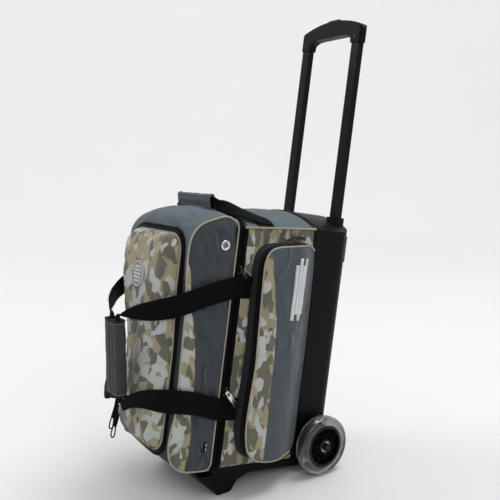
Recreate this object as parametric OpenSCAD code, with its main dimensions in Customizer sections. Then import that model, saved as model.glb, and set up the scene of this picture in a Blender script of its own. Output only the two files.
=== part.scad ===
// Rolling bowling bag for two balls, with a telescoping tow handle.
// Everything is drawn upright about the wheel axle and then leaned back:
// X runs across the bag, -Y is its front, Z follows the tow tubes.
// "near" is the +X side and "far" is the -X side.

/* [Stance] */
// Backward lean of the bag on its wheels and front foot, degrees
lean = 8.5; // [6:0.5:10]
// Distance from the origin back to the wheel axle, which centres the outline
axle_y = 121.5; // [60:0.1:180]

/* [Bag body] */
// Width of the bag and of the back tub
body_w = 254; // [240:1:270]
// Height of the side walls above the axle
side_top = 442; // [430:1:450]
// Rise of the arched top above the side walls
crown = 40; // [25:1:50]
// Lowest face of the soft body, below the axle
body_bottom = -36; // [-40:1:-30]
// Thickness of the padded fabric walls
wall = 3; // [2:0.5:4]
// Front face of the back tub
tub_front = -62; // [-70:1:-55]
// Back face of the back tub
tub_back = 33; // [30:1:40]
// Seam plane of the main zip
zip_y = -250; // [-260:1:-240]
// Front face of the front lid
lid_front = -361; // [-370:1:-355]

/* [Pockets] */
// Front face of the front pocket
pocket_front = -392; // [-400:1:-385]
// Half width of the front pocket
pocket_half_w = 98; // [80:1:104]
// Outer face of the side pockets from the middle
side_pocket_x = 166; // [160:1:172]

/* [Wheels] */
// Wheel radius
wheel_r = 62.5; // [60:0.5:65]
// Wheel mid plane from the middle of the bag
wheel_x = 150; // [148:1:156]
// Half width of the tyre
tyre_half_w = 14.6; // [12:0.1:15]
// Radius of the moulded hub
hub_r = 42; // [38:0.5:46]
// Radius of the steel axle
axle_r = 4; // [3:0.5:5]

/* [Tow handle] */
// Distance between the two tubes
tube_gap = 165; // [150:1:180]
// Width of a sliding tube
tube_w = 22; // [18:1:24]
// Depth of a sliding tube
tube_d = 15; // [12:1:16]
// Top of the tubes when drawn out
tube_top = 884; // [860:1:900]
// Length of a sliding tube
tube_len = 484; // [460:1:500]

/* [Webbing] */
// Width of the tote webbing
web_w = 44; // [38:1:50]
// Thickness of the tote webbing
web_t = 2.6; // [2:0.1:3.5]

/* [Hidden] */
$fn = 48;

half_w = body_w / 2;
fit = 0.3;                                   // gap between pieces that move past each other
arc_steps = 6;

// Tub and its wheel wells
tub_side_top = side_top + 10;
tub_crown = crown - 8;
top_fall = 4;                                // slope of the bag's top towards the front
tub_bottom = body_bottom - 2;
tub_corner = 28;
well_top = wheel_r;                          // the tub narrows below this height
well_half_w = half_w - 10;

// Base under the bag
plate_top = tub_bottom;
plate_t = 16;
plate_half_w = 114;
foot_half_w = 109;
foot_front = -272;
foot_back = -152;
foot_toe = [-222, -198];                     // flat stretch that stands on the floor

// Back panel and ball seats
board_y = 5;
board_t = 3;
cradle_t = 8;
ball_seat_r = 46;
ball_seats = [92, 314];                      // heights of the two ball centres

// Tow handle
tube_y = 19.5;
tube_wall = 1.4;
sleeve_wall = 2.4;
sleeve_bottom = 14;
sleeve_top = 458;
grip_bottom = 862;
grip_half_w = 98;
grip_depth = 20;
socket_x = [69, 96];
grip_arch_low = 882;
shoulder_z = 899;
grip_rise = 19;
button_half_w = 17;
rod_bar_z = 889;                             // underside of the bar that joins the push rods

// Side pockets
side_pocket_y = [-218, -76];
side_pocket_z = [-14, 422];
side_pocket_r = 38;
side_seam_x = 154;
side_taper_y = -126;
side_hinge_x = half_w + 4;                   // the side lids turn about their back edges

// Front pocket
front_pocket_z = [4, 412];
front_pocket_r = 34;
pocket_edge_r = 28;
front_zip_out = 5;                           // how far its zip band stands off the lid

lid_corner = 20;                             // radius of the lid's upright front edges

// Zip tapes
tape_w = 11;
tape_t = 1;

// Tote straps: where they are sewn on, and the wrapped grip they meet in
sewn_z = [85, 325];
strap_x = half_w + 4.5;
strap_y = zip_y + 4;
grip_centre = [0, -424.5, 162];
grip_len = 150;
grip_wrap_half_w = 27;
grip_wrap_half_d = 12;

// Top carry handle
top_sewn = [117, -195.5, 450.6];
top_pad_half_len = 62;
top_pad_y = -287;
top_pad_z = 480;
top_tilt = 14;

// ---- placing -------------------------------------------------------------------------

// Leans the upright drawing back about the axle and stands it on the floor
module placed() translate([0, axle_y, wheel_r]) rotate([-lean, 0, 0]) children();

module far_side() mirror([1, 0, 0]) children();

// An outline in X and Z, drawn from y0 to y1
module along_y(y0, y1) translate([0, y1, 0]) rotate([90, 0, 0]) linear_extrude(y1 - y0) children();

// An outline in Y and Z, drawn from x0 to x1
module along_x(x0, x1) translate([x0, 0, 0]) rotate([90, 0, 90]) linear_extrude(x1 - x0) children();

module slab(low, high) translate(low) cube(high - low);

// A cylinder along X from x0 to x1
module rod_x(x0, x1, r) translate([x0, 0, 0]) rotate([0, 90, 0]) cylinder(h = x1 - x0, r = r);

// ---- outlines ------------------------------------------------------------------------

function arc_points(c, r, a0, a1) =
    [for (i = [0:arc_steps]) let (a = a0 + (a1 - a0) * i / arc_steps) c + r * [cos(a), sin(a)]];

// Rectangle whose four corner radii are given from the low-low corner, anticlockwise
function rounded_points(low, high, r) = concat(
    arc_points([low[0] + r[0], low[1] + r[0]], r[0], 180, 270),
    arc_points([high[0] - r[1], low[1] + r[1]], r[1], 270, 360),
    arc_points([high[0] - r[2], high[1] - r[2]], r[2], 0, 90),
    arc_points([low[0] + r[3], high[1] - r[3]], r[3], 90, 180));

// Radius of an arch over a half width w that rises by h
function arch_r(w, h) = (w * w + h * h) / (2 * h);

// Bag cross-section: flat floor, straight sides and an arched top
function arch_points(w, z0, z1, rise, r) =
    let (big = arch_r(w, rise), half = asin(w / big))
    concat(
        arc_points([-w + r, z0 + r], r, 180, 270),
        arc_points([w - r, z0 + r], r, 270, 360),
        [for (i = [0:12]) let (a = 90 - half + 2 * half * i / 12)
            [big * cos(a), z1 + rise - big + big * sin(a)]]);

module body_section(inset, z1 = side_top, rise = crown, r = 14)
    polygon(arch_points(half_w - inset, body_bottom + inset, z1 - inset * 0.6, rise, r - inset));

// Prism of the bag's cross-section whose arched top falls towards the front
module rear_prism(inset, y0, y1) intersection() {
    along_y(y0, y1) body_section(inset, side_top + 60);
    translate([0, tub_front, 0]) rotate([top_fall, 0, 0])
        along_y(y0 - tub_front - 30, y1 - tub_front + 30)
            polygon(arch_points(half_w - inset, -200, side_top + 10 - inset * 0.6, crown - 8, 5));
}

module lid_section(inset) body_section(inset, side_top + 4, crown - 22);

// Side outline of the front lid: both front corners are full curves
lid_crest = [-296, 464];                      // highest line of the lid's top
module lid_profile(inset)
    polygon(concat(
        arc_points([lid_front + 45, body_bottom + 45], 45 - inset, 180, 270),
        [[zip_y + 20, body_bottom + inset], [zip_y + 20, lid_crest[1] - 8 - inset]],
        arc_points([lid_crest[0], lid_crest[1] - lid_crest[0] + lid_front],
            lid_crest[0] - lid_front - inset, 90, 180)));

// ---- sweeps --------------------------------------------------------------------------

function unit(v) = v / norm(v);

// Closed band along points p, with half-width vectors w and half thicknesses t
module ribbon(p, w, t) {
    n = len(p);
    tangent = [for (i = [0:n - 1]) unit(p[min(i + 1, n - 1)] - p[max(i - 1, 0)])];
    across = [for (i = [0:n - 1]) w[i] - (w[i] * tangent[i]) * tangent[i]];
    thick = [for (i = [0:n - 1]) unit(cross(tangent[i], across[i])) * t[i]];
    points = [for (i = [0:n - 1]) each [
        p[i] - across[i] - thick[i], p[i] + across[i] - thick[i],
        p[i] + across[i] + thick[i], p[i] - across[i] + thick[i]]];
    sides = [for (i = [0:n - 2], k = [0:3])
        let (a = 4 * i + k, b = 4 * i + (k + 1) % 4, c = b + 4, d = a + 4)
        each [[a, b, c], [a, c, d]]];
    ends = [[3, 2, 1, 0], [for (k = [0:3]) 4 * (n - 1) + k]];
    polyhedron(points, concat(sides, ends), convexity = 6);
}

// ---- back tub and base ---------------------------------------------------------------

module tub_body(inset) {
    intersection() {
        union() {
            along_y(tub_front - 1, tub_back - inset)
                intersection() {
                    polygon(arch_points(half_w - inset, tub_bottom + inset, tub_side_top - inset * 0.6,
                        tub_crown, 2));
                    translate([-half_w, well_top - inset]) square([body_w, 2 * side_top]);
                }
            along_y(tub_front - 1, tub_back - inset)
                polygon(rounded_points([-well_half_w + inset, tub_bottom + inset],
                    [well_half_w - inset, well_top + 5], [10, 10, 1, 1]));
        }
        translate([0, 0, -200]) linear_extrude(900)
            polygon(rounded_points([-half_w + inset, -200], [half_w - inset, tub_back - inset],
                [1, 1, tub_corner - inset, tub_corner - inset]));
        slab([-half_w, tub_front - (inset > 0 ? 1 : 0), -200], [half_w, tub_back, 700]);
    }
}

module tube_holes(w, d, z0, z1)
    for (side = [-1, 1])
        slab([side * tube_gap / 2 - w / 2, tube_y - d / 2, z0],
             [side * tube_gap / 2 + w / 2, tube_y + d / 2, z1]);

module back_tub() color("#1d1d1f") placed()
    difference() {
        tub_body(0);
        tub_body(wall);
        tube_holes(tube_w + 2 * sleeve_wall + 0.6, tube_d + 2 * sleeve_wall + 0.6, 440, 520);
        rod_x(-half_w - 1, half_w + 1, axle_r + 0.2);
    }

module back_board() color("#2b2d30") placed()
    intersection() {
        slab([-half_w, board_y, 8], [half_w, board_y + board_t, 600]);
        along_y(board_y - 1, board_y + board_t + 1)
            polygon(arch_points(well_half_w - wall - 1, 8, tub_side_top - 14, tub_crown - 6, 6));
    }

module ball_cradle() color("#3c4044") placed()
    difference() {
        slab([-104, board_y - cradle_t - 0.2, 14], [104, board_y - 0.2, 436]);
        for (z = ball_seats)
            translate([0, board_y + 1, z]) rotate([90, 0, 0]) cylinder(h = cradle_t + 4, r = ball_seat_r);
    }

module floor_pad() color("#3c4044") placed()
    slab([-106, zip_y + 6, body_bottom + wall + 0.2], [106, -8, body_bottom + wall + 1.7]);

module base_plate() color("#161617") placed()
    difference() {
        translate([0, 0, plate_top - plate_t]) linear_extrude(plate_t - fit)
            polygon(rounded_points([-plate_half_w, zip_y + 2], [plate_half_w, tub_back - 12],
                [22, 22, 10, 10]));
        slab([-plate_half_w + 8, zip_y + 10, plate_top - plate_t - 1],
             [plate_half_w - 8, tub_back - 22, plate_top - 4]);
    }

// Height of the floor, in the upright drawing, under a place y
function floor_z(y) = (y * sin(lean) - wheel_r) / cos(lean);

module front_foot() color("#121213") placed()
    along_x(-foot_half_w, foot_half_w)
        polygon([
            [foot_front, plate_top - plate_t - fit], [foot_front + 2, plate_top - plate_t - 6],
            [foot_toe[0] - 10, floor_z(foot_toe[0]) + 7], [foot_toe[0] - 3, floor_z(foot_toe[0]) + 1.2],
            [foot_toe[0], floor_z(foot_toe[0])], [foot_toe[1], floor_z(foot_toe[1])],
            [foot_toe[1] + 5, floor_z(foot_toe[1]) + 3], [foot_toe[1] + 18, floor_z(foot_toe[1]) + 24],
            [foot_back - 8, plate_top - plate_t - 6], [foot_back, plate_top - plate_t - fit]]);

module base_screws() color("#8a8c90") placed()
    for (x = [-80, 0, 80], y = [-120, -60])
        translate([x, y, plate_top - 6.2]) cylinder(h = 2, r = 6);

// ---- tow handle: fixed half ----------------------------------------------------------

module sleeve() placed()
    difference() {
        slab([tube_gap / 2 - tube_w / 2 - sleeve_wall, tube_y - tube_d / 2 - sleeve_wall, sleeve_bottom],
             [tube_gap / 2 + tube_w / 2 + sleeve_wall, tube_y + tube_d / 2 + sleeve_wall, sleeve_top]);
        slab([tube_gap / 2 - tube_w / 2 - fit, tube_y - tube_d / 2 - fit, sleeve_bottom - 1],
             [tube_gap / 2 + tube_w / 2 + fit, tube_y + tube_d / 2 + fit, sleeve_top + 1]);
    }
module sleeve_near() color("#3a3b3d") sleeve();
module sleeve_far() color("#3a3b3d") far_side() sleeve();

// Moulded block on the tub's back, and the two collars that the tubes come out of
module tow_housing() color("#19191b") placed()
    difference() {
        union() {
            translate([0, 0, 388]) linear_extrude(56)
                polygon(rounded_points([-104, tub_back + 0.1], [104, tub_back + 14], [1, 1, 9, 9]));
            for (side = [-1, 1]) translate([side * tube_gap / 2, tube_y, sleeve_top + 0.2])
                linear_extrude(24)
                    polygon(rounded_points([-18.5, -13.2], [18.5, 13.2], [8, 8, 8, 8]));
        }
        tube_holes(tube_w + 2 * fit, tube_d + 2 * fit, 380, 520);
        tub_cut();
    }

// The room that the tub's own skin takes, for pieces that stand on it
module tub_cut() difference() {
    tub_body(0);
    tube_holes(tube_w + 2 * sleeve_wall + 0.6, tube_d + 2 * sleeve_wall + 0.6, 440, 520);
}

module sleeve_bracket() color("#19191b") placed()
    difference() {
        slab([-99.5, tube_y - 10.5, 10], [99.5, tube_y + 10.3, 40]);
        tube_holes(tube_w + 2 * sleeve_wall, tube_d + 2 * sleeve_wall, sleeve_bottom, 60);
        slab([-60, tube_y - 20, 0], [60, tube_y + 6, 60]);
    }

// ---- wheels --------------------------------------------------------------------------

module wheel_mount() placed()
    difference() {
        union() {
            translate([well_half_w + 0.1, 0, 0]) rotate([90, 0, 90]) linear_extrude(4)
                polygon(rounded_points([-34, -32], [27, 44], [12, 12, 12, 12]));
            rod_x(well_half_w + 0.1, wheel_x - 17, 15);
        }
        rod_x(0, 200, axle_r + 0.1);
    }
module wheel_mount_near() color("#18181a") wheel_mount();
module wheel_mount_far() color("#18181a") far_side() wheel_mount();

module axle() color("#9b9da1") placed() rod_x(-wheel_x - 17, wheel_x + 17, axle_r);

module axle_caps() color("#202022") placed()
    for (side = [0, 1]) mirror([side, 0, 0]) {
        difference() {
            rod_x(wheel_x + 13.6, wheel_x + 21, 8.5);
            rod_x(wheel_x + 13, wheel_x + 17.2, axle_r + 0.1);
        }
        difference() {
            rod_x(wheel_x - 16.9, wheel_x - 13.3, 7);
            rod_x(wheel_x - 18, wheel_x - 13, axle_r + 0.1);
        }
    }

// Turns a profile of [distance along the axle, radius] about the wheel's axle
module turned(profile) translate([wheel_x, 0, 0]) rotate([0, 90, 0])
    rotate_extrude($fn = 72) polygon([for (q = profile) [q[1], q[0]]]);

module tyre() placed()
    turned([
        [-tyre_half_w + 2, hub_r + 0.1], [-tyre_half_w, hub_r + 4], [-tyre_half_w, wheel_r - 8],
        [-tyre_half_w * 0.75, wheel_r - 2.6], [-tyre_half_w * 0.35, wheel_r], [tyre_half_w * 0.35, wheel_r],
        [tyre_half_w * 0.75, wheel_r - 2.6], [tyre_half_w, wheel_r - 8], [tyre_half_w, hub_r + 4],
        [tyre_half_w - 2, hub_r + 0.1]]);
module tyre_near() color("#c9c9c4", 0.6) tyre();
module tyre_far() color("#c9c9c4", 0.6) far_side() tyre();

module hub() placed() {
    turned([[-12, hub_r - 5], [-12, hub_r], [12, hub_r], [12, hub_r - 5]]);
    turned([[-13, 11], [-13, 16], [13, 16], [13, 11]]);
    translate([wheel_x, 0, 0])
        for (i = [0:9]) rotate([i * 36, 0, 0])
            for (lean_in = [-7, 7])
                rotate([lean_in, 0, 0]) slab([-8, -1.4, 15.6], [9, 1.4, hub_r - 4.8]);
}
module hub_near() color("#151516") hub();
module hub_far() color("#151516") far_side() hub();

module bearings() placed()
    for (x = [-13, 6]) turned([[x, axle_r + 0.05], [x, 11], [x + 7, 11], [x + 7, axle_r + 0.05]]);
module bearings_near() color("#b9bbbf") bearings();
module bearings_far() color("#b9bbbf") far_side() bearings();

// ---- soft body -----------------------------------------------------------------------

module rear_shell() color("#5c666d") placed()
    difference() {
        rear_prism(0, zip_y + 0.2, tub_front - 0.3);
        rear_prism(wall, zip_y - 1, tub_front + 1);
    }

module zip_tape_rear() color("#0f0f10") placed()
    difference() {
        rear_prism(-tape_t, zip_y + 0.2, zip_y + tape_w);
        rear_prism(-0.05, zip_y - 1, zip_y + tape_w + 1);
    }
module zip_tape_lid() color("#0f0f10") placed()
    difference() {
        lid_body(-tape_t, zip_y - tape_w);
        lid_body(-0.05);
    }

module side_outline(inset)
    polygon(rounded_points([side_pocket_y[0] + inset, side_pocket_z[0] + inset],
        [side_pocket_y[1] - inset, side_pocket_z[1] - inset],
        [side_pocket_r - inset, 6, 6, side_pocket_r - inset]));

// Plan of a side pocket: full depth at the front, tapering to the tub's edge at the back
module side_plan(x_full, x_back, gap)
    translate([0, 0, -100]) linear_extrude(600)
        polygon([[half_w + 0.1, side_pocket_y[0] - 5], [x_full, side_pocket_y[0] - 5], [x_full, side_taper_y],
            [x_back, side_pocket_y[1] + gap], [half_w + 0.1, side_pocket_y[1] + gap]]);

module pocket_base() placed()
    difference() {
        intersection() {
            along_x(half_w, side_seam_x) side_outline(0);
            side_plan(side_seam_x, side_hinge_x - 0.4, 1);
        }
        along_x(half_w - 1, side_seam_x + 1) side_outline(wall);
    }
module pocket_base_near() color("#3b4045") pocket_base();
module pocket_base_far() color("#3b4045") far_side() pocket_base();

module side_lid() placed()
    difference() {
        intersection() {
            along_x(half_w, side_pocket_x) side_outline(0);
            side_plan(side_pocket_x, side_hinge_x + 5, 1);
        }
        intersection() {
            along_x(half_w - 1, side_pocket_x) side_outline(wall);
            side_plan(side_pocket_x - wall, side_hinge_x + 1, 1);
        }
        side_plan(side_seam_x + 0.4, side_hinge_x, 2);
    }
module side_lid_near() color("#64707a") side_lid();
module side_lid_far() color("#64707a") far_side() side_lid();

module webbing_anchors() color("#111112") placed()
    for (side = [0, 1]) mirror([side, 0, 0]) {
        for (z = sewn_z)
            slab([half_w + tape_t + 0.3, strap_y + 2, z - web_w / 2],
                 [half_w + tape_t + 0.3 + web_t, side_pocket_y[0] - 1, z + web_w / 2]);
        translate([122.4, top_sewn[1], 445.6]) rotate([top_fall, 27, 0])
            slab([-3.2, -20, 0.6], [3.2, 20, 2.6]);
    }

// ---- front lid -----------------------------------------------------------------------

module lid_body(inset, y0 = lid_front - 1) intersection() {
    along_y(y0, zip_y - (inset == 0 || inset < -0.5 ? fit : -1)) lid_section(inset);
    along_x(-half_w - 2, half_w + 2) lid_profile(inset);
    translate([0, 0, -100]) linear_extrude(650)
        polygon(rounded_points([-half_w + inset, lid_front + inset], [half_w - inset, zip_y + 20],
            [lid_corner - inset, lid_corner - inset, 1, 1]));
}
module lid_shell() color("#5c666d") placed()
    difference() {
        lid_body(0);
        lid_body(wall);
    }

module pocket_outline(inset)
    polygon(rounded_points([-pocket_half_w + inset, front_pocket_z[0] + inset],
        [pocket_half_w - inset, front_pocket_z[1] - inset],
        [for (i = [0:3]) front_pocket_r - inset]));

// Body of the front pocket: its two upright front edges are full curves
module pocket_body(inset) intersection() {
    along_y(pocket_front, lid_front + 30) pocket_outline(inset);
    linear_extrude(side_top)
        polygon(rounded_points([-pocket_half_w + inset, pocket_front + inset],
            [pocket_half_w - inset, lid_front + 40], [pocket_edge_r - inset, pocket_edge_r - inset, 1, 1]));
}

// Front pocket, closed, with its own hollow
module front_pocket() color("#a9a694") placed()
    difference() {
        pocket_body(0);
        pocket_body(wall);
        lid_body(0);
    }

module front_zip_band() color("#0f0f10") placed()
    difference() {
        along_y(lid_front - front_zip_out, lid_front + 30) pocket_outline(-9);
        along_y(pocket_front - 1, lid_front + 40) pocket_outline(-0.2);
        lid_body(0);
    }

module eyelets() color("#d0d0d0") placed()
    for (side = [0, 1]) mirror([side, 0, 0])
        translate([half_w + 0.05, -287, 402]) rotate([0, 90, 0]) difference() {
            cylinder(h = 1.6, r = 10);
            translate([0, 0, -1]) cylinder(h = 4, r = 5);
        }

module emblem() color("#c4c4c0") placed()
    translate([-8, pocket_front - 0.2, 325]) rotate([90, 0, 0]) cylinder(h = 1.5, r = 26);

// ---- webbing handles -----------------------------------------------------------------

// The near tote strap from its upper sewn end to its lower one, leg by leg
upper_leg = [[0, 0, 0], [0.8, -9, -0.3], [2, -34, -7], [3, -72, -18], [0, -104, -31], [-18, -134, -46],
             [-46, -158, -58], [-74, -176, -67], [-97, -186, -74]];
lower_leg = [[-97, -171, -8], [-74, -164, 6], [-46, -152, 16], [-16, -131, 20], [0, -104, 21],
             [3, -72, 17], [2, -34, 7], [0.8, -9, 0.3], [0, 0, 0]];
tote_start = [strap_x, strap_y, sewn_z[1]];
tote_end = [strap_x, strap_y, sewn_z[0]];
hang = [0, -sin(lean), cos(lean)];           // straight up, in the upright drawing
grip_mid = grip_centre + [13.8, 0, 0];
tote_points = concat(
    [for (q = upper_leg) tote_start + q],
    [for (k = [79, 40, 0, -40, -79]) grip_mid + k * hang],
    [for (q = lower_leg) tote_end + q]);
tote_across = concat(
    [for (i = [0:7]) [0, 0, web_w / 2]], [[12, 0, 14]],
    [for (i = [0:4]) [10, 0, 0]],
    [[12, 0, -14]], [for (i = [0:7]) [0, 0, -web_w / 2]]);
tote_thick = concat([for (i = [0:8]) web_t / 2], [for (i = [0:4]) 2.6], [for (i = [0:8]) web_t / 2]);

module tote_strap() placed() ribbon(tote_points, tote_across, tote_thick);
module tote_strap_near() color("#0e0e0f") tote_strap();
module tote_strap_far() color("#0e0e0f") far_side() tote_strap();

// Half of the wrapped grip: the two halves close against each other in the middle
module grip_half() placed()
    translate(grip_centre) rotate([lean, 0, 0]) translate([0, 0, -grip_len / 2])
        linear_extrude(grip_len) difference() {
            polygon(rounded_points([0.4, -grip_wrap_half_d], [grip_wrap_half_w, grip_wrap_half_d],
                [3, 10, 10, 3]));
            polygon(rounded_points([1.8, -4.8], [grip_wrap_half_w - 1.8, 4.8], [1, 2, 2, 1]));
        }
module grip_half_near() color("#4b5258") grip_half();
module grip_half_far() color("#4b5258") far_side() grip_half();

// Half of the top handle's webbing, from its sewn end to the middle of the pad
top_leg = [[0, 0, 0], [-8, -0.3, 4.6], [-16, -14.5, 9.9], [-26, -40.5, 15.9], [-37, -66.5, 21.9],
           [-45, -84.5, 25.4], [-57, -91.5, 29.4]];
top_leg_across = [[0, 21, 1.4], [-2, 20, 2], [-10, 14, 5], [-13, 9, 9], [-9, 3, 13], [-3, -1, 12],
                  [0, -sin(top_tilt) * 11, cos(top_tilt) * 11]];
last_leg = len(top_leg) - 1;
top_points = concat(
    [for (q = top_leg) top_sewn + q],
    [for (i = [last_leg:-1:0]) let (q = top_sewn + top_leg[i]) [-q[0], q[1], q[2]]]);
top_across = concat(
    top_leg_across,
    [for (i = [last_leg:-1:0]) let (q = top_leg_across[i]) [-q[0], q[1], q[2]]]);

module top_strap() color("#101011") placed()
    ribbon(top_points, top_across, [for (q = top_points) 1.3]);

module top_pad() color("#5d6b76") placed()
    translate([0, top_pad_y, top_pad_z]) rotate([top_tilt, 0, 0])
        along_x(-top_pad_half_len, top_pad_half_len) difference() {
            polygon(rounded_points([-6, -16], [6, 16], [5, 5, 5, 5]));
            polygon(rounded_points([-3.4, -13.5], [3.4, 13.5], [1, 1, 1, 1]));
        }

// ---- tow handle: sliding half --------------------------------------------------------

module tube() placed()
    difference() {
        slab([tube_gap / 2 - tube_w / 2, tube_y - tube_d / 2, tube_top - tube_len],
             [tube_gap / 2 + tube_w / 2, tube_y + tube_d / 2, tube_top]);
        slab([tube_gap / 2 - tube_w / 2 + tube_wall, tube_y - tube_d / 2 + tube_wall, 300],
             [tube_gap / 2 + tube_w / 2 - tube_wall, tube_y + tube_d / 2 - tube_wall, tube_top + 1]);
    }
module tube_near() color("#161617") tube();
module tube_far() color("#161617") far_side() tube();

module tube_plugs() color("#d8d8d4") placed()
    for (side = [-1, 1])
        translate([side * tube_gap / 2, tube_y, tube_top - tube_len])
            slab([-tube_w / 2 + tube_wall, -tube_d / 2 + tube_wall, 0.5],
                 [tube_w / 2 - tube_wall, tube_d / 2 - tube_wall, 18]);

// Grip outline in X and Z: two sockets under an arched bar
module grip_outline() polygon(concat(
    [[-socket_x[0], grip_bottom], [-socket_x[1], grip_bottom], [-grip_half_w, grip_bottom + 9],
     [-grip_half_w - 1, shoulder_z - 7]],
    [for (i = [0:12]) let (x = (grip_half_w - 5) * (i / 6 - 1))
        [x, shoulder_z + grip_rise * (1 - pow(x / grip_half_w, 2))]],
    [[grip_half_w + 1, shoulder_z - 7], [grip_half_w, grip_bottom + 9], [socket_x[1], grip_bottom],
     [socket_x[0], grip_bottom]],
    [for (i = [0:10]) let (x = (socket_x[0] - 2) * (1 - i / 5))
        [x, grip_arch_low - 9 * pow(x / socket_x[0], 8)]]));

module tow_grip() color("#151516") placed()
    difference() {
        intersection() {
            along_y(tube_y - grip_depth / 2, tube_y + grip_depth / 2) grip_outline();
            translate([0, 0, 800]) linear_extrude(200)
                polygon(rounded_points([-grip_half_w - 1, tube_y - grip_depth / 2],
                    [grip_half_w + 1, tube_y + grip_depth / 2], [7, 7, 7, 7]));
        }
        tube_holes(tube_w, tube_d, 800, tube_top);
        slab([-button_half_w - 0.8, tube_y - 6, grip_arch_low + 7],
             [button_half_w + 0.8, tube_y + 6, 1000]);
        slab([-tube_gap / 2 - 4, tube_y - 3, grip_arch_low + 1.9],
             [tube_gap / 2 + 4, tube_y + 3, grip_arch_low + 15]);
    }

module grip_screws() color("#6d6f73") placed()
    for (side = [-1, 1])
        translate([side * tube_gap / 2, tube_y - grip_depth / 2 - 0.05, grip_bottom + 12])
            rotate([90, 0, 0]) cylinder(h = 1, r = 3);

module release_button() color("#242426") placed()
    slab([-button_half_w, tube_y - 5.2, grip_arch_low + 12], [button_half_w, tube_y + 5.2, 922]);

// Cross bar and two long rods that draw the locks in when the button is pressed
module push_rods() color("#8d8f93") placed() {
    for (side = [0, 1]) mirror([side, 0, 0])
        slab([button_half_w - 6, tube_y - 2, rod_bar_z], [tube_gap / 2 + 3, tube_y + 2, rod_bar_z + 4.9]);
    for (side = [-1, 1])
        translate([side * tube_gap / 2, tube_y, tube_top - tube_len + 26])
            cylinder(h = rod_bar_z - tube_top + tube_len - 26, r = 2);
}

// ---- zip sliders and pulls -----------------------------------------------------------

// A slider on a chain along Z, standing on the plane x = 0
module zip_slider() difference() {
    union() {
        slab([0, -4.5, -8], [2.2, 4.5, 8]);
        slab([2.2, -2, -6], [5.6, 2, 6]);
    }
    translate([3.4, -3, -3]) cube([1.4, 6, 6]);
}

// A flat pull that hangs along -Z from a pin at the origin
module zip_pull(length, w = 8) difference() {
    slab([-0.8, -w / 2, -length], [0.8, w / 2, 1]);
    slab([-1, -w / 2 + 1.6, -6], [1, w / 2 - 1.6, -2]);
}

slider_x = half_w + tape_t + 0.4;
pull_x = slider_x + 7;
upper_slider_z = 358;
lower_slider_z = 121;
upper_pull = [29, 52];
lower_pull = [37, 45];                        // the main pulls' lengths, and how far they slant to the rear

module main_slider(z) placed() translate([slider_x, zip_y, z]) zip_slider();
module main_pull(z, pull) placed() translate([pull_x, zip_y, z]) rotate([pull[1], 0, 0]) zip_pull(pull[0]);
module main_slider_upper() color("#1a1a1b") main_slider(upper_slider_z);
module main_pull_upper() color("#232324") main_pull(upper_slider_z, upper_pull);
module main_slider_lower() color("#1a1a1b") main_slider(lower_slider_z);
module main_pull_lower() color("#b9babd") main_pull(lower_slider_z, lower_pull);

side_slider_y = -150;
side_slider_x = side_seam_x - 4.8;
module side_slider() placed()
    translate([side_slider_x, side_slider_y, side_pocket_z[1] + 0.4]) rotate([0, -90, 0]) rotate([90, 0, 0])
        zip_slider();
module side_pull() placed()
    translate([side_slider_x, side_slider_y, side_pocket_z[1] + 7.8]) rotate([90, 0, 0])
        rotate([0, 0, 90]) zip_pull(34);
module side_slider_near() color("#1a1a1b") side_slider();
module side_slider_far() color("#1a1a1b") far_side() side_slider();
module side_pull_near() color("#1a1a1b") side_pull();
module side_pull_far() color("#1a1a1b") far_side() side_pull();

// Two sliders on the far upright stretch of the front pocket's zip
front_slider_x = -pocket_half_w - 4.8;
front_slider_z = [64, 44];
front_pull_len = [66, 58];
front_pull_shift = [-2.9, 2.9];              // the two pulls hang side by side
module front_slider(i) placed()
    translate([front_slider_x, lid_front - front_zip_out - 0.4, front_slider_z[i]])
        rotate([0, 0, -90]) zip_slider();
module front_pull(i) placed()
    translate([front_slider_x + front_pull_shift[i], lid_front - front_zip_out - 7.4, front_slider_z[i]])
        rotate([0, 0, -90]) zip_pull(front_pull_len[i], 5);
module front_slider_upper() color("#1a1a1b") front_slider(0);
module front_slider_lower() color("#1a1a1b") front_slider(1);
module front_pull_upper() color("#1a1a1b") front_pull(0);
module front_pull_lower() color("#1a1a1b") front_pull(1);

// ---- parts ---------------------------------------------------------------------------

back_tub();
back_board();
ball_cradle();
floor_pad();
base_plate();
front_foot();
base_screws();
sleeve_near();
sleeve_far();
tow_housing();
sleeve_bracket();
wheel_mount_near();
wheel_mount_far();
axle();
axle_caps();
rear_shell();
zip_tape_rear();
pocket_base_near();
pocket_base_far();
webbing_anchors();
tube_near();
tube_far();
tow_grip();
grip_screws();
tube_plugs();
release_button();
push_rods();
hub_near();
tyre_near();
bearings_near();
hub_far();
tyre_far();
bearings_far();
lid_shell();
front_pocket();
zip_tape_lid();
front_zip_band();
eyelets();
emblem();
tote_strap_near();
grip_half_near();
tote_strap_far();
grip_half_far();
top_strap();
top_pad();
side_lid_near();
side_lid_far();
main_slider_upper();
main_pull_upper();
main_slider_lower();
main_pull_lower();
side_slider_near();
side_pull_near();
side_slider_far();
side_pull_far();
front_slider_upper();
front_pull_upper();
front_slider_lower();
front_pull_lower();
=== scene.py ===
"""Looks of a rolling bowling bag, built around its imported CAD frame.

Shapes are written upright about the wheel axle, in millimetres, with X across the bag, -Y to the
front and Z along the tow tubes. place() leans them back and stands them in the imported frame.
"""
import math

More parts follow.
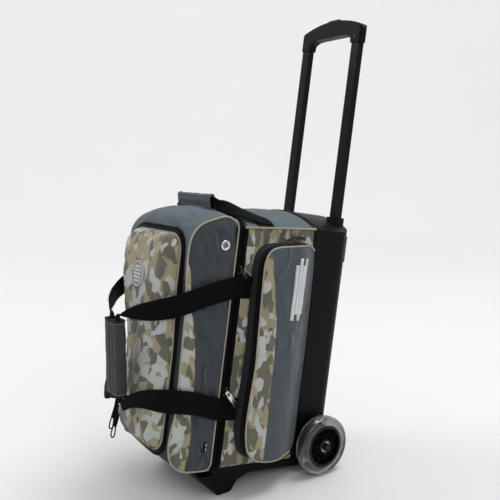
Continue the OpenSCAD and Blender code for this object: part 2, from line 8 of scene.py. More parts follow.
import bpy
import bmesh
import numpy as np
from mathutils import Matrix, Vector

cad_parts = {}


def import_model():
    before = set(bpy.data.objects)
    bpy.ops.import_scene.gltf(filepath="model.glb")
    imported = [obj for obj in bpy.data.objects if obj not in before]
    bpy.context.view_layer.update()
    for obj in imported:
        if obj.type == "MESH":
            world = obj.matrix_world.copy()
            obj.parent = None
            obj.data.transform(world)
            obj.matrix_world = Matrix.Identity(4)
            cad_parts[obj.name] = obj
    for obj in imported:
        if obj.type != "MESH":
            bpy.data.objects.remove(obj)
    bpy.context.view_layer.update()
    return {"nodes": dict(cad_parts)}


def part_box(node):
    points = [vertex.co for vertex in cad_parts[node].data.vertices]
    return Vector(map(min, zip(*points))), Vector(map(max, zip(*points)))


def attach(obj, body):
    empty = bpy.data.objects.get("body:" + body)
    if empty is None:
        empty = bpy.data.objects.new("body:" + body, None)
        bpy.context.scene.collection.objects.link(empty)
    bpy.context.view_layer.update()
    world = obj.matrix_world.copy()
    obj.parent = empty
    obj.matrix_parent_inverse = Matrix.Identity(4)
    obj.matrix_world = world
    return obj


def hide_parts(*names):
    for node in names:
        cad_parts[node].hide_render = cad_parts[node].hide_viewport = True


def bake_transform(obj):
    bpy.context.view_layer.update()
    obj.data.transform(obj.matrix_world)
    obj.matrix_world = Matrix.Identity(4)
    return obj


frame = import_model()
NODES = frame["nodes"]

LEAN = math.radians(8.5)                      # how far the bag leans back
AXLE = sum(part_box("axle"), Vector()) / 2
HALF_W = 127.0                                # half the body's width
ARCH = 32.0                                   # how far its top arches up
TOOTH = 2.1                                   # pitch of the zip teeth
CREASES = 0.95                                # how strongly canvas creases show
NEAR, UP = np.array([1.0, 0, 0]), np.array([0, 0, 1.0])
BACK, FORWARD = np.array([0, 1.0, 0]), np.array([0, -1.0, 0])


def xyz(x, y, z):
    """Points from coordinates that spread to a common shape."""
    return np.stack(np.broadcast_arrays(x, y, z), -1).astype(float)


def tipped(p, angle):
    """Points or vectors turned about X, with their tops towards the front."""
    p = np.asarray(p, float)
    c, s = math.cos(angle), math.sin(angle)
    return xyz(p[..., 0], p[..., 1] * c - p[..., 2] * s, p[..., 1] * s + p[..., 2] * c)


def place(p):
    """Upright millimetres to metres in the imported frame."""
    return tipped(p, -LEAN) / 1000 + [0, AXLE.y, AXLE.z]


def mirrored(p):
    """The same on the far side."""
    return np.asarray(p, float) * [-1, 1, 1]


SIDES = (("near", np.asarray), ("far", mirrored))


def ease(x, a, b):
    """A smooth step from 0 at a to 1 at b."""
    t = np.clip((np.asarray(x, float) - a) / (b - a), 0, 1)
    return t * t * (3 - 2 * t)


def ripple(p, size, seed, octaves=3):
    """Smooth repeatable noise from -1 to 1 over points in millimetres."""
    rng = np.random.default_rng(seed)
    p = np.asarray(p, float)
    out, total = 0.0, 0.0
    for k in range(octaves):
        for _ in range(4):
            d = rng.normal(size=3)
            d /= np.linalg.norm(d)
            f = 2 * math.pi / size * 1.9 ** k * rng.uniform(0.7, 1.3)
            out = out + 0.6 ** k * np.sin(p @ d * f + rng.uniform(0, 6.28))
        total += 0.6 ** k * 4
    return out / total * 1.8


# ---- curves --------------------------------------------------------------------------------

def catmull(p, k, closed=False):
    """A table of points made k times denser with a Catmull-Rom curve through each column."""
    p = np.asarray(p, float)
    q = np.vstack([p[-1:], p, p[:2]]) if closed else np.vstack([2 * p[0] - p[1], p, 2 * p[-1] - p[-2]])
    out = []
    t = np.linspace(0, 1, k, endpoint=False)[:, None]
    for i in range(1, len(q) - 2):
        a, b, c, d = q[i - 1:i + 3]
        out.append(0.5 * (2 * b + (c - a) * t + (2 * a - 5 * b + 4 * c - d) * t ** 2
                          + (3 * b - a - 3 * c + d) * t ** 3))
    return np.vstack(out + [p[:1] if closed else p[-1:]])


def spline(p, n, closed=False):
    """n points along a Catmull-Rom curve through p, evenly spaced by length."""
    return even(catmull(p, 12, closed), n, drop_last=closed)


def even(p, n, drop_last=False):
    """n points evenly spaced along the polyline p."""
    p = np.asarray(p, float)
    s = np.r_[0, np.cumsum(np.linalg.norm(np.diff(p[:, :3], axis=0), axis=1))]
    t = np.linspace(0, s[-1], n + 1)[:-1] if drop_last else np.linspace(0, s[-1], n)
    return np.stack([np.interp(t, s, p[:, k]) for k in range(p.shape[1])], 1)


def shut(p):
    """The loop p with its first point again at its end."""
    return np.vstack([p, p[:1]])


def from_end(n):
    """How many points each of n points is from the nearer end."""
    return np.minimum(np.arange(n), np.arange(n)[::-1])


def corner(c, r, a0, a1, n=8):
    """Points along an arc, from the angle a0 to a1 in degrees."""
    a = np.radians(np.linspace(a0, a1, n))
    return np.stack([c[0] + r * np.cos(a), c[1] + r * np.sin(a)], 1)


def unit(v):
    v = np.asarray(v, float)
    return v / np.maximum(np.linalg.norm(v, axis=-1, keepdims=True), 1e-9)


def tangents(p, closed=False):
    return unit(np.roll(p, -1, 0) - np.roll(p, 1, 0) if closed else np.gradient(p, axis=0))


def circle(n):
    """n points round a unit circle in Y and Z."""
    a = np.linspace(0, 2 * math.pi, n, endpoint=False)
    return xyz(0, np.cos(a), np.sin(a))


def turned(points, centre, n):
    """Rows of a form turned about X: points are (distance along X, radius)."""
    return np.array([centre + circle(n) * r + NEAR * h for h, r in points])


# ---- mesh building -------------------------------------------------------------------------

class Batch:
    """Collects surfaces, in upright millimetres, that become one object."""

    def __init__(self):
        self.v, self.f, self.m, self.uv, self.count = [], [], [], [], 0

    def ends(self, base, sides, rows, mat):
        """Closes both ends of a tube of rows that starts at the point numbered base."""
        last = base + (rows - 1) * sides
        self.f += [[base + k for k in range(sides)][::-1], [last + k for k in range(sides)]]
        self.m += [mat, mat]

    def add(self, pts, faces, mat=0, uv=None):
        pts = np.asarray(pts, float).reshape(-1, 3)
        self.f += [[i + self.count for i in face] for face in faces]
        self.m += [mat] * len(faces)
        self.uv.append(np.zeros((len(pts), 2)) if uv is None else np.asarray(uv, float).reshape(-1, 2))
        self.v.append(pts)
        self.count += len(pts)

    def grid(self, p, mat=0, close_u=False, close_v=False, flip=False, uv=None):
        """A surface through rows of points."""
        p = np.asarray(p, float)
        m, n = p.shape[:2]
        if uv is None:
            du = np.r_[0, np.cumsum(np.linalg.norm(np.diff(p, axis=0), axis=2).mean(1))]
            dv = np.r_[0, np.cumsum(np.linalg.norm(np.diff(p, axis=1), axis=2).mean(0))]
            uv = np.stack(np.meshgrid(du, dv, indexing="ij"), -1) / 1000
        faces = []
        for i in range(m if close_u else m - 1):
            for j in range(n if close_v else n - 1):
                a, b = i * n + j, (i + 1) % m * n + j
                c, d = (i + 1) % m * n + (j + 1) % n, i * n + (j + 1) % n
                faces.append([a, d, c, b] if flip else [a, b, c, d])
        self.add(p, faces, mat, uv)

    def plate(self, rows, mat=0, flip=False):
        """Loops that shrink towards a middle line, with the last one filled in."""
        rows = np.asarray(rows, float)
        m, n = rows.shape[:2]
        self.grid(rows, mat, close_v=True, flip=flip)
        last = [self.count - n + k for k in range(n)]
        self.f.append(last if flip else last[::-1])
        self.m.append(mat)

    def tube(self, path, r, mat=0, sides=8, closed=False):
        """A round tube along path."""
        path = np.asarray(path, float)
        t = tangents(path, closed)
        normals = [unit(np.cross(t[0], [0.3, 0.5, 0.81]))]
        for k in range(1, len(path)):
            v = normals[-1] - (normals[-1] @ t[k]) * t[k]
            normals.append(unit(v))
        nn = np.array(normals)
        bb = np.cross(t, nn)
        c = circle(sides)[None, :, :, None] * r
        base = self.count
        self.grid(path[:, None] + c[:, :, 1] * nn[:, None] + c[:, :, 2] * bb[:, None], mat,
                  close_u=closed, close_v=True)
        if not closed:
            self.ends(base, sides, len(path), mat)

    def band(self, path, across, half_t, mat=0, closed=False, crown=0.0, n=7):
        """A flat strap along path whose half-width vectors are across."""
        path = np.asarray(path, float)
        across = np.broadcast_to(np.asarray(across, float), path.shape)
        t = tangents(path, closed)
        across = across - (across * t).sum(1, keepdims=True) * t
        thick = unit(np.cross(t, across))
        u = np.linspace(-1, 1, n)
        top = [(a, 1.0 if abs(a) < 0.99 else 0.45) for a in u]
        section = top + [(a, -h) for a, h in top[::-1]]
        rows = [path + across * a + thick * (half_t * b + crown * (1 - a * a) * (b > 0))
                for a, b in section]
        p = np.stack(rows, 1)
        s = np.r_[0, np.cumsum(np.linalg.norm(np.diff(path, axis=0), axis=1))]
        w = np.linalg.norm(across, axis=1)
        uv = np.stack([np.stack([s, a * w], 1) for a, _ in section], 1) / 1000
        base = self.count
        self.grid(p, mat, close_u=closed, close_v=True, uv=uv)
        if not closed:
            self.ends(base, len(section), len(path), mat)

    def block(self, centre, size, mat=0, axes=np.eye(3)):
        """A box: its centre, three half sizes and three unit axes."""
        corners = [centre + sum(s * h * a for s, h, a in zip((i, j, k), size, axes))
                   for i in (-1, 1) for j in (-1, 1) for k in (-1, 1)]
        self.add(corners, [[0, 1, 3, 2], [4, 6, 7, 5], [0, 4, 5, 1], [2, 3, 7, 6],
                           [0, 2, 6, 4], [1, 5, 7, 3]], mat)

    def teeth(self, path, side, up, mat, pitch=TOOTH, half=(0.62, 1.5, 0.6), shift=0.0):
        """A row of zip teeth along path. side and up are one vector, or one for each point."""
        path = np.asarray(path, float)
        n = max(2, int(np.linalg.norm(np.diff(path, axis=0), axis=1).sum() / pitch))
        q = even(np.hstack([path, np.broadcast_to(side, path.shape), np.broadcast_to(up, path.shape)]), n)
        t = tangents(q[:, :3])
        for k in range(n):
            s, u = unit(q[k, 3:6]), unit(q[k, 6:9])
            self.block(q[k, :3] + s * shift, half, mat, (t[k], s, u))

    def dots(self, path, side, up, mat, pitch=3.2, half=(1.1, 0.28, 0.3)):
        """Stitches: short raised threads along path."""
        self.teeth(path, side, up, mat, pitch, half)

    def make(self, name, mats, body, slot, replaces=(), smooth=True, outward=False, merge=0.0):
        """One object from everything added, in the materials whose keys in M are named by mats.

        With body None it's left unattached.
        """
        mesh = bpy.data.meshes.new(name)
        mesh.from_pydata(place(np.vstack(self.v)).tolist(), [], self.f)
        for key in mats.split():
            mesh.materials.append(M[key])
        mesh.polygons.foreach_set("material_index", self.m)
        mesh.polygons.foreach_set("use_smooth", [smooth] * len(self.f))
        index = np.empty(len(mesh.loops), int)
        mesh.loops.foreach_get("vertex_index", index)
        mesh.uv_layers.new(name="UVMap").data.foreach_set("uv", np.vstack(self.uv)[index].ravel())
        if outward or merge:
            bm = bmesh.new()
            bm.from_mesh(mesh)
            if merge:
                bmesh.ops.remove_doubles(bm, verts=bm.verts, dist=merge)
            if outward:
                bmesh.ops.recalc_face_normals(bm, faces=bm.faces)
            bm.to_mesh(mesh)
            bm.free()
        mesh.update()
        ob = linked(name, mesh)
        if body:
            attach(ob, body)
        if replaces:
            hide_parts(*replaces)
        return ob


def linked(name, data):
    """A new object in the scene."""
    ob = bpy.data.objects.new(name, data)
    bpy.context.scene.collection.objects.link(ob)
    return ob


def harden(ob, angle):
    """Smooth shading with edges sharper than angle kept crisp."""
    m = ob.data
    bm = bmesh.new()
    bm.from_mesh(m)
    for e in bm.edges:
        e.smooth = not (len(e.link_faces) == 2 and e.calc_face_angle(0) > math.radians(angle))
    bm.to_mesh(m)
    bm.free()


def solid(ob, thick, inner=0):
    """Gives a sheet a thickness in millimetres, inwards, with another material inside."""
    m = ob.modifiers.new("thickness", "SOLIDIFY")
    m.thickness = thick / 1000
    m.offset = -1
    m.material_offset = inner
    m.material_offset_rim = inner


def bevel(ob, width, segments=2, angle=35):
    """Rounds edges sharper than angle, width millimetres wide."""
    m = ob.modifiers.new("edges", "BEVEL")
    m.width = width / 1000
    m.segments = segments
    m.limit_method = "ANGLE"
    m.angle_limit = math.radians(angle)


def applied(ob):
    """Modifiers become part of the mesh."""
    bpy.context.view_layer.update()
    mesh = bpy.data.meshes.new_from_object(ob.evaluated_get(bpy.context.evaluated_depsgraph_get()))
    ob.modifiers.clear()
    ob.data = mesh
    return ob


# ---- materials -----------------------------------------------------------------------------

class Shader:
    """A small builder for node materials."""

    def __init__(self, name):
        self.mat = bpy.data.materials.new(name)
        self.mat.use_nodes = True
        self.t = self.mat.node_tree
        self.bsdf = self.t.nodes["Principled BSDF"]
        coord = self.t.nodes.new("ShaderNodeTexCoord")
        self.at, self.uv = coord.outputs["Object"], coord.outputs["UV"]

    def node(self, kind, inputs=None, **attrs):
        n = self.t.nodes.new("ShaderNode" + kind)
        for k, v in attrs.items():
            setattr(n, k, v)
        self.feed(n, inputs or {})
        return n

    def feed(self, node, inputs):
        """Links sockets, or sets plain values, on a node's inputs."""
        for k, v in inputs.items():
            if hasattr(v, "is_output"):
                self.t.links.new(v, node.inputs[k])
            else:
                node.inputs[k].default_value = v

    def math(self, op, a, b=0.0, clamp=False):
        return self.node("Math", {0: a, 1: b}, operation=op, use_clamp=clamp).outputs[0]

    def add(self, a, b, clamp=False):
        return self.math("ADD", a, b, clamp)

    def sub(self, a, b, clamp=False):
        return self.math("SUBTRACT", a, b, clamp)

    def mul(self, a, b, clamp=False):
        return self.math("MULTIPLY", a, b, clamp)

    def mix(self, factor, a, b, blend="MIX"):
        return self.node("Mix", {0: factor, 6: a, 7: b}, data_type="RGBA", blend_type=blend).outputs[2]

    def tint(self, a, b):
        return self.mix(1.0, a, b, "MULTIPLY")

    def noise(self, scale, detail=2.0, vector=None, rough=0.55):
        return self.node("TexNoise", {"Scale": scale, "Detail": detail, "Roughness": rough,
                                      "Vector": vector or self.at}).outputs[0]

    def ramp(self, value, stops, constant=False):
        """A colour ramp. Its stops are (position, RGBA colour or grey level)."""
        n = self.node("ValToRGB", {0: value})
        cr = n.color_ramp
        cr.interpolation = "CONSTANT" if constant else "LINEAR"
        while len(cr.elements) < len(stops):
            cr.elements.new(0.5)
        for e, (pos, col) in zip(cr.elements, stops):
            e.position = pos
            e.color = col if isinstance(col, tuple) else (col, col, col, 1)
        return n.outputs[0]

    def wave(self, axis, period, vector=None):
        return self.node("TexWave", {"Scale": 0.31416 / period, "Distortion": 0.6, "Detail": 1.0,
                                     "Detail Scale": 1.5, "Vector": vector or self.at},
                         wave_type="BANDS", bands_direction=axis).outputs["Fac"]

    def weave(self, period):
        """Height of a plain weave, from crossed threads."""
        return self.math("MAXIMUM", self.mul(self.wave("X", period), self.wave("Z", period)),
                         self.mul(self.wave("Y", period), self.wave("Z", period * 1.03)))

    def cloth(self, period, lumps, height):
        """Height of a weave on a slightly lumpy cloth."""
        return self.add(self.weave(period), self.mul(self.noise(lumps, 3.0), height))

    def bump(self, height, strength, distance, **more):
        return self.node("Bump", {"Height": height, "Strength": strength, "Distance": distance,
                                  **more}).outputs[0]

    def creased(self, height, strength, distance, depth):
        """Surface normal of a cloth: its weave, and soft creases that come and go."""
        fine = self.bump(height, strength, distance)
        along = self.node("Mapping", {"Vector": self.at, "Rotation": (0.6, 0.2, 0.1),
                                      "Scale": (1.0, 1.5, 0.75)}).outputs[0]
        off = self.math("ABSOLUTE", self.sub(self.noise(15.0, 1.5, along, 0.4), 0.5))
        line = self.sub(1.0, self.mul(off, 11.0, clamp=True))
        where = self.ramp(self.noise(8.0, 1.0), [(0.44, 0.0), (0.6, 1.0)])
        soft = self.mul(self.noise(22.0, 2.0, along, 0.4), 0.9)
        return self.bump(self.add(self.mul(line, where), soft), depth, 0.0045, Normal=fine)

    def woven(self, colour, amount, rough, normal, sheen=0.02, spec=0.12):
        """Finishes a cloth whose tone varies by amount."""
        return self.done(fabric_tone(self, colour, amount), rough, normal, Sheen_Weight=sheen,
                         Sheen_Roughness=0.5, Specular_IOR_Level=spec)

    def done(self, colour, rough, normal, **sockets):
        """The finished material. sockets are named with _ for each space."""
        self.feed(self.bsdf, {"Base Color": colour, "Roughness": rough, "Normal": normal})
        self.feed(self.bsdf, {k.replace("_", " "): v for k, v in sockets.items()})
        return self.mat


def lin(*rgb):
    """An 8-bit sRGB colour as linear RGBA."""
    v = np.array(rgb) / 255
    return (*np.where(v <= 0.04045, v / 12.92, ((v + 0.055) / 1.055) ** 2.4), 1.0)


def shade(colour, k, more=0.0):
    """A colour made k times as bright."""
    return (*(min(1, c * k + more) for c in colour[:3]), 1)


def fabric_tone(s, colour, amount=0.12):
    """A cloth colour with slow and fine variation."""
    slow = s.ramp(s.noise(14.0, 3.0), [(0.3, 1 - amount), (0.7, 1.0)])
    fine = s.ramp(s.noise(900.0, 1.0), [(0.25, 1 - amount * 1.4), (0.75, 1.0)])
    return s.tint(s.tint(colour, slow), fine)


def camo_colour(s, shift=(0.0, 0.0, 0.0)):
    """Angular patches in pale grey, tan and olive grey."""
    base = s.node("Mapping", {"Vector": s.at, "Location": shift,
                              "Rotation": (0.5, 0.3, 0.6), "Scale": (1.0, 1.25, 0.85)})

    def cells(k, offset):
        m = s.node("Mapping", {"Vector": base.outputs[0], "Location": offset})
        v = s.node("TexVoronoi", {"Vector": m.outputs[0], "Scale": k})
        return s.node("SeparateColor", {0: v.outputs["Color"]}).outputs

    tones = [(0.0, lin(188, 190, 188)), (0.24, lin(162, 153, 124)), (0.54, lin(103, 102, 89)),
             (0.75, lin(180, 182, 179)), (0.84, lin(150, 141, 113))]
    a, b, c = cells(34.0, (0, 0, 0)), cells(34 * 1.3, (1.7, 0.4, 2.2)), cells(34 * 1.7, (5.1, 3.3, 0.7))
    first = s.ramp(a[0], tones, constant=True)
    second = s.ramp(b[0], [(0.0, lin(100, 99, 87)), (0.4, lin(187, 189, 187)), (0.62, lin(158, 149, 120))],
                    constant=True)
    third = s.ramp(c[0], [(0.0, lin(184, 186, 183)), (0.36, lin(106, 104, 91))], constant=True)
    one = s.mix(s.math("GREATER_THAN", b[1], 0.55), first, second)
    return s.mix(s.math("GREATER_THAN", c[1], 0.72), one, third)


def profile(s, axis, pieces, low, high):
    """How far a point is beyond a curve through pieces of (along, across), all in millimetres.

    Axis "y" means Y over height, and "x" means height over X. low and high bound the across values.
    """
    body = s.node("VectorRotate", {"Vector": s.at, "Center": (0, AXLE.y, AXLE.z),
                                   "Axis": (1, 0, 0), "Angle": LEAN}, rotation_type="AXIS_ANGLE")
    sep = s.node("SeparateXYZ", {0: body.outputs[0]})
    x = s.mul(sep.outputs[0], 1000.0)
    y = s.mul(s.sub(sep.outputs[1], AXLE.y), 1000.0)
    z = s.mul(s.sub(sep.outputs[2], AXLE.z), 1000.0)
    along, across = (z, y) if axis == "y" else (x, z)
    a0, a1 = pieces[0][0], pieces[-1][0]
    t = s.math("DIVIDE", s.sub(along, a0), a1 - a0, clamp=True)
    curve = s.ramp(t, [((p - a0) / (a1 - a0), (v - low) / (high - low)) for p, v in pieces])
    return s.sub(across, s.add(s.mul(curve, high - low), low))


def make_fabric(name, colour, weave=0.9, strength=0.25, amount=0.12, creases=0.0):
    s = Shader(name)
    normal = s.creased(s.cloth(weave / 1000, 60.0, 0.6), strength, 0.0006, creases)
    return s.woven(colour, amount, 0.78, normal)


def make_camo(name):
    s = Shader(name)
    normal = s.creased(s.cloth(0.0008, 55.0, 0.5), 0.22, 0.0006, CREASES)
    return s.woven(camo_colour(s), 0.10, 0.72, normal, 0.12, 0.32)


def make_split(name, grey, axis, pieces, low, high, keep_above, shift=(0.0, 0.0, 0.0)):
    """Camouflage on one side of a sewn boundary and grey on the other, with a stitched groove."""
    s = Shader(name)
    d = profile(s, axis, pieces, low, high)
    side = s.math("GREATER_THAN", d, 0.0) if keep_above else s.math("LESS_THAN", d, 0.0)
    colour = s.mix(side, camo_colour(s, shift), grey)
    seam = s.math("LESS_THAN", s.math("ABSOLUTE", d), 0.8)
    colour = s.mix(s.mul(seam, 0.55), colour, lin(40, 42, 44))
    ridge = s.sub(1.0, s.mul(s.math("ABSOLUTE", d), 0.25, clamp=True))
    h = s.sub(s.cloth(0.0008, 55.0, 0.5), s.mul(ridge, 1.2))
    return s.woven(colour, 0.11, 0.75, s.creased(h, 0.25, 0.0007, CREASES), 0.15, 0.3)


def make_webbing(name, colour, rib=1.4):
    s = Shader(name)
    h = s.add(s.wave("Y", rib / 1000, s.uv), s.mul(s.wave("X", rib / 2500, s.uv), 0.5))
    # painted shade and highlight: the rib grooves are painted darker and the rib tops lighter
    tone = s.mix(s.mul(h, 0.5), shade(colour, 0.75), shade(colour, 1.35))
    return s.done(fabric_tone(s, tone, 0.2), 0.7, s.bump(h, 0.5, 0.0004),
                  Sheen_Weight=0.01, Sheen_Roughness=0.4, Specular_IOR_Level=0.07)


def make_plastic(name, colour, rough=0.45, grain=0.25, scuff=0.35, coat=0.0, spec=0.13):
    s = Shader(name)
    slow = s.noise(9.0, 4.0)
    marks = s.ramp(s.noise(120.0, 6.0, rough=0.7), [(0.60, 0), (0.78, 1)])
    tone = s.tint(s.mix(s.mul(marks, scuff), colour, shade(colour, 2.2, 0.004)),
                  s.ramp(slow, [(0.3, 0.82), (0.7, 1.0)]))
    r = s.add(s.add(s.mul(slow, 0.16), rough - 0.08), s.mul(marks, 0.1), clamp=True)
    return s.done(tone, r, s.bump(s.noise(1400.0, 2.0), grain, 0.0003), Coat_Weight=coat,
                  Specular_IOR_Level=spec)


def make_metal(name, colour, rough=0.25, brushed=0.0):
    s = Shader(name)
    m = s.node("Mapping", {"Vector": s.at, "Scale": (1.0, 1.0, 0.03)})
    lines = s.noise(1500.0, 2.0, m.outputs[0])
    blotch = s.noise(25.0, 3.0)
    tone = s.tint(colour, s.ramp(blotch, [(0.3, 0.86), (0.7, 1.0)]))
    r = s.add(s.mul(blotch, 0.12), rough - 0.05)
    return s.done(tone, r, s.bump(lines, 0.1 + brushed, 0.0002), Metallic=1.0)


def make_dome():
    """Grey canvas with painted shade: it runs darker down the front face, which is out of the light."""
    s = Shader("dome_canvas")
    z = s.node("SeparateXYZ", {0: s.at}).outputs[2]
    t = s.mul(s.sub(z, 0.44), 11.0, clamp=True)
    normal = s.creased(s.cloth(0.0009, 60.0, 0.6), 0.25, 0.0006, CREASES)
    return s.woven(s.mix(t, PAINTED_FRONT_SHADE, GREY), 0.12, 0.78, normal)


def make_tyre():
    s = Shader("clear_tyre")
    tone = s.ramp(s.noise(30.0, 3.0), [(0.3, (0.22, 0.22, 0.205, 1)), (0.7, (0.36, 0.36, 0.335, 1))])
    return s.done(tone, 0.09, s.bump(s.noise(90.0, 4.0), 0.05, 0.0006), IOR=1.46,
                  Transmission_Weight=0.92, Coat_Weight=0.2)


GREY = lin(98, 109, 114)
# painted shade: the grey canvas darkened for the lid's front face
PAINTED_FRONT_SHADE = lin(62, 69, 73)
DARK_GREY = lin(58, 65, 70)
SIDE_GREY = lin(72, 82, 88)
LID_SPLIT = [(-40, -317), (44, -315), (82, -319), (137, -320), (179, -325), (225, -332), (274, -344),
             (347, -354), (384, -368), (460, -372)]
SIDE_SPLIT = [(-20, -165), (68, -166), (131, -166), (207, -170), (270, -176), (338, -190), (393, -203),
              (425, -222)]
FRONT_SPLIT = [(-110, 74), (-60, 46), (-25, 30), (24, 18), (87, 13), (110, 9)]

M = {
    "grey": make_fabric("grey_canvas", GREY, creases=CREASES),
    "gusset": make_fabric("gusset_canvas", lin(46, 48, 50), creases=CREASES),
    "lining": make_fabric("lining", lin(56, 59, 63), 0.6, 0.15),
    "bottom": make_fabric("base_canvas", lin(26, 27, 29)),
    "wrap": make_fabric("wrap_canvas", lin(68, 70, 71), 0.9, 0.3),
    "camo": make_camo("patched_canvas"),
    "dome": make_dome(),
    "lid_side": make_split("lid_side_canvas", DARK_GREY, "y", LID_SPLIT, -380, -300, True),
    "pocket_side": make_split("side_cover_canvas", SIDE_GREY, "y", SIDE_SPLIT, -240, -150, True,
                              (0.31, 0.12, 0.07)),
    "pocket_front": make_split("front_cover_canvas", SIDE_GREY, "x", FRONT_SPLIT, -10, 60, False,
                               (0.13, 0.41, 0.27)),
    "piping": make_fabric("pale_piping", lin(176, 171, 150), 1.2, 0.35, 0.16),
    "binding": make_fabric("black_binding", lin(13, 13, 14), 1.0, 0.3),
    "web": make_webbing("black_webbing", lin(11, 11, 12)),
    "tape": make_webbing("zip_tape", lin(10, 10, 11), 1.0),
    "teeth": make_plastic("zip_teeth", lin(15, 15, 17), 0.35, 0.1),
    "thread": make_fabric("dark_thread", lin(30, 31, 33), 0.6, 0.3),
    "pale_thread": make_fabric("pale_thread", lin(150, 154, 156), 0.6, 0.3),
    "tub": make_plastic("moulded_tub", lin(12, 12, 13), 0.42, 0.3, 0.12, spec=0.1),
    "plastic": make_plastic("black_nylon", lin(12, 12, 13), 0.4, 0.25, 0.15),
    "gloss": make_plastic("hub_plastic", lin(8, 8, 9), 0.22, 0.06, 0.1, 0.03, 0.2),
    "tube": make_plastic("painted_tube", lin(8, 8, 9), 0.26, 0.06, 0.08, 0.02, 0.16),
    "silver": make_metal("bright_plate", (0.78, 0.79, 0.8, 1), 0.16),
    "zinc": make_metal("zinc_plate", (0.5, 0.51, 0.53, 1), 0.32, 0.1),
    "black_metal": make_plastic("lacquered_zinc", lin(14, 14, 15), 0.22, 0.05, 0.15, 0.1, 0.4),
    "foam": make_fabric("foam_lining", lin(46, 49, 53), 0.7, 0.2),
    "acetal": make_plastic("pale_acetal", lin(205, 204, 196), 0.4, 0.1, 0.05, spec=0.4),
    "print": make_fabric("pale_print", lin(214, 216, 216), 0.6, 0.12, 0.06),
    "label": make_fabric("tag_fabric", lin(205, 206, 204), 0.5, 0.2, 0.06),
    "badge": make_fabric("badge_thread", lin(176, 178, 176), 0.5, 0.5, 0.2),
    "badge_edge": make_fabric("badge_border", lin(222, 223, 220), 0.5, 0.5, 0.1),
    "tyre": make_tyre(),
}

# ---- shared outlines -----------------------------------------------------------------------

FLOOR_Z, BEND = -36.0, 14.0                   # the floor, and the bend up into the sides


def rear_edge(y):
    """Height of the piping along the side walls."""
    return 452 + 0.0699 * (np.asarray(y, float) + 62)


def arch_height(x, w=HALF_W):
    """How far the arched top stands above its edges at x."""
    big = (w * w + ARCH * ARCH) / (2 * ARCH)
    return np.sqrt(big * big - np.asarray(x, float) ** 2) - (big - ARCH)


def ring(y, off, n=300):
    """The bag's outline at a depth y, off millimetres out, from the bottom middle round the near side."""
    w, z0, z1 = HALF_W + off, FLOOR_Z - off, float(rear_edge(y)) + off * 0.4
    x = np.linspace(w, -w, 44)
    p = even(shut(np.vstack([
        [(0, z0)], corner((w - BEND, z0 + BEND), BEND, 270, 360),
        np.stack([x, z1 + arch_height(x, w + 0.001)], 1),
        corner((BEND - w, z0 + BEND), BEND, 180, 270)])), n, drop_last=True)
    return xyz(p[:, 0], y, p[:, 1])


SAG_FAR, SAG_BACK = 20.0, 9.0


def sag(p):
    """The empty bag's lower front leans to the near side, most of all on its far edge."""
    p = np.array(p, float)
    low = ease(330 - p[..., 2], 0, 150)
    front = ease(-p[..., 1], 300, 366)
    far = ease(-p[..., 0], -60, 100)
    near_edge = 1 - 0.8 * ease(p[..., 0], 97, 122)
    p[..., 0] += (13 * near_edge + SAG_FAR * far) * low * front
    p[..., 1] += SAG_BACK * low * front * far
    return p


def outline(low, high, r, nc=9, na=24, nb=60):
    """Closed outline of a rounded rectangle with its straight runs divided, from low-low."""
    (x0, z0), (x1, z1) = low, high
    cs = [corner((x0 + r, z0 + r), r, 180, 270, nc), corner((x1 - r, z0 + r), r, 270, 360, nc),
          corner((x1 - r, z1 - r), r, 0, 90, nc), corner((x0 + r, z1 - r), r, 90, 180, nc)]
    out = []
    for k, run in enumerate((na, nb, na, nb)):
        a, b = cs[k][-1], cs[(k + 1) % 4][0]
        t = np.linspace(0, 1, run + 1, endpoint=False)[1:, None]
        out += [cs[k], a + (b - a) * t]
    return np.vstack(out)


def strap_stitches(b, path, across, reach, lift, parts):
    """Stitches near both edges of a strap, on both faces, over some parts of its length."""
    t = tangents(path)
    side = unit(across - (across * t).sum(1, keepdims=True) * t)
    up = unit(np.cross(t, side))
    out = side * np.linalg.norm(across, axis=1, keepdims=True) * reach
    for edge in (-1, 1):
        for face in (-1, 1):
            line = path + out * edge + up * face * lift
            for part in parts:
                b.dots(line[part], side[part], up[part] * face, 1, 3.6, (1.2, 0.3, 0.22))


# ---- rear body -----------------------------------------------------------------------------

ys = np.linspace(-249.7, -62.4, 40)
bottom = corner((HALF_W - BEND, FLOOR_Z + BEND), BEND, 270, 360, 7)[:-1]
side_x = np.r_[bottom[:, 0], np.full(76, HALF_W - 0.4)]
side_z = np.hstack([np.tile(bottom[:, 1], (len(ys), 1)),
                    np.linspace(FLOOR_Z + BEND, rear_edge(ys), 76, axis=1)])
rear = Batch()
for tail, keep in SIDES:
    p = xyz(side_x, ys[:, None], side_z)
    inside = ease(p[..., 2], -22, 30) * ease(-p[..., 2], -450, -400)
    p[..., 0] += (1.4 + 1.1 * ripple(p, 60, 3)) * inside * ease(-np.abs(p[..., 1] + 156), -94, -60)
    rear.grid(keep(p), flip=keep is mirrored)
u = np.linspace(-1, 1, 61)
x = u * (HALF_W - 0.4)
top = xyz(x, ys[:, None], rear_edge(ys)[:, None] + arch_height(x))
top[..., 2] += ((1.6 * ripple(top, 90, 5) + 0.8 * ripple(top, 34, 6)) * (1 - u ** 2)
                * ease(-np.abs(ys + 156), -93, -70)[:, None])
rear.grid(top, 1, flip=True)
rear.grid(xyz(np.linspace(BEND - HALF_W, HALF_W - BEND, 30), ys[:, None], FLOOR_Z), 2)
rear_body = rear.make("rear_body", "camo grey bottom lining", "bag", "grey_fabric",
                      ["rear_shell"], merge=0.0002)
solid(rear_body, 2.6, 3)

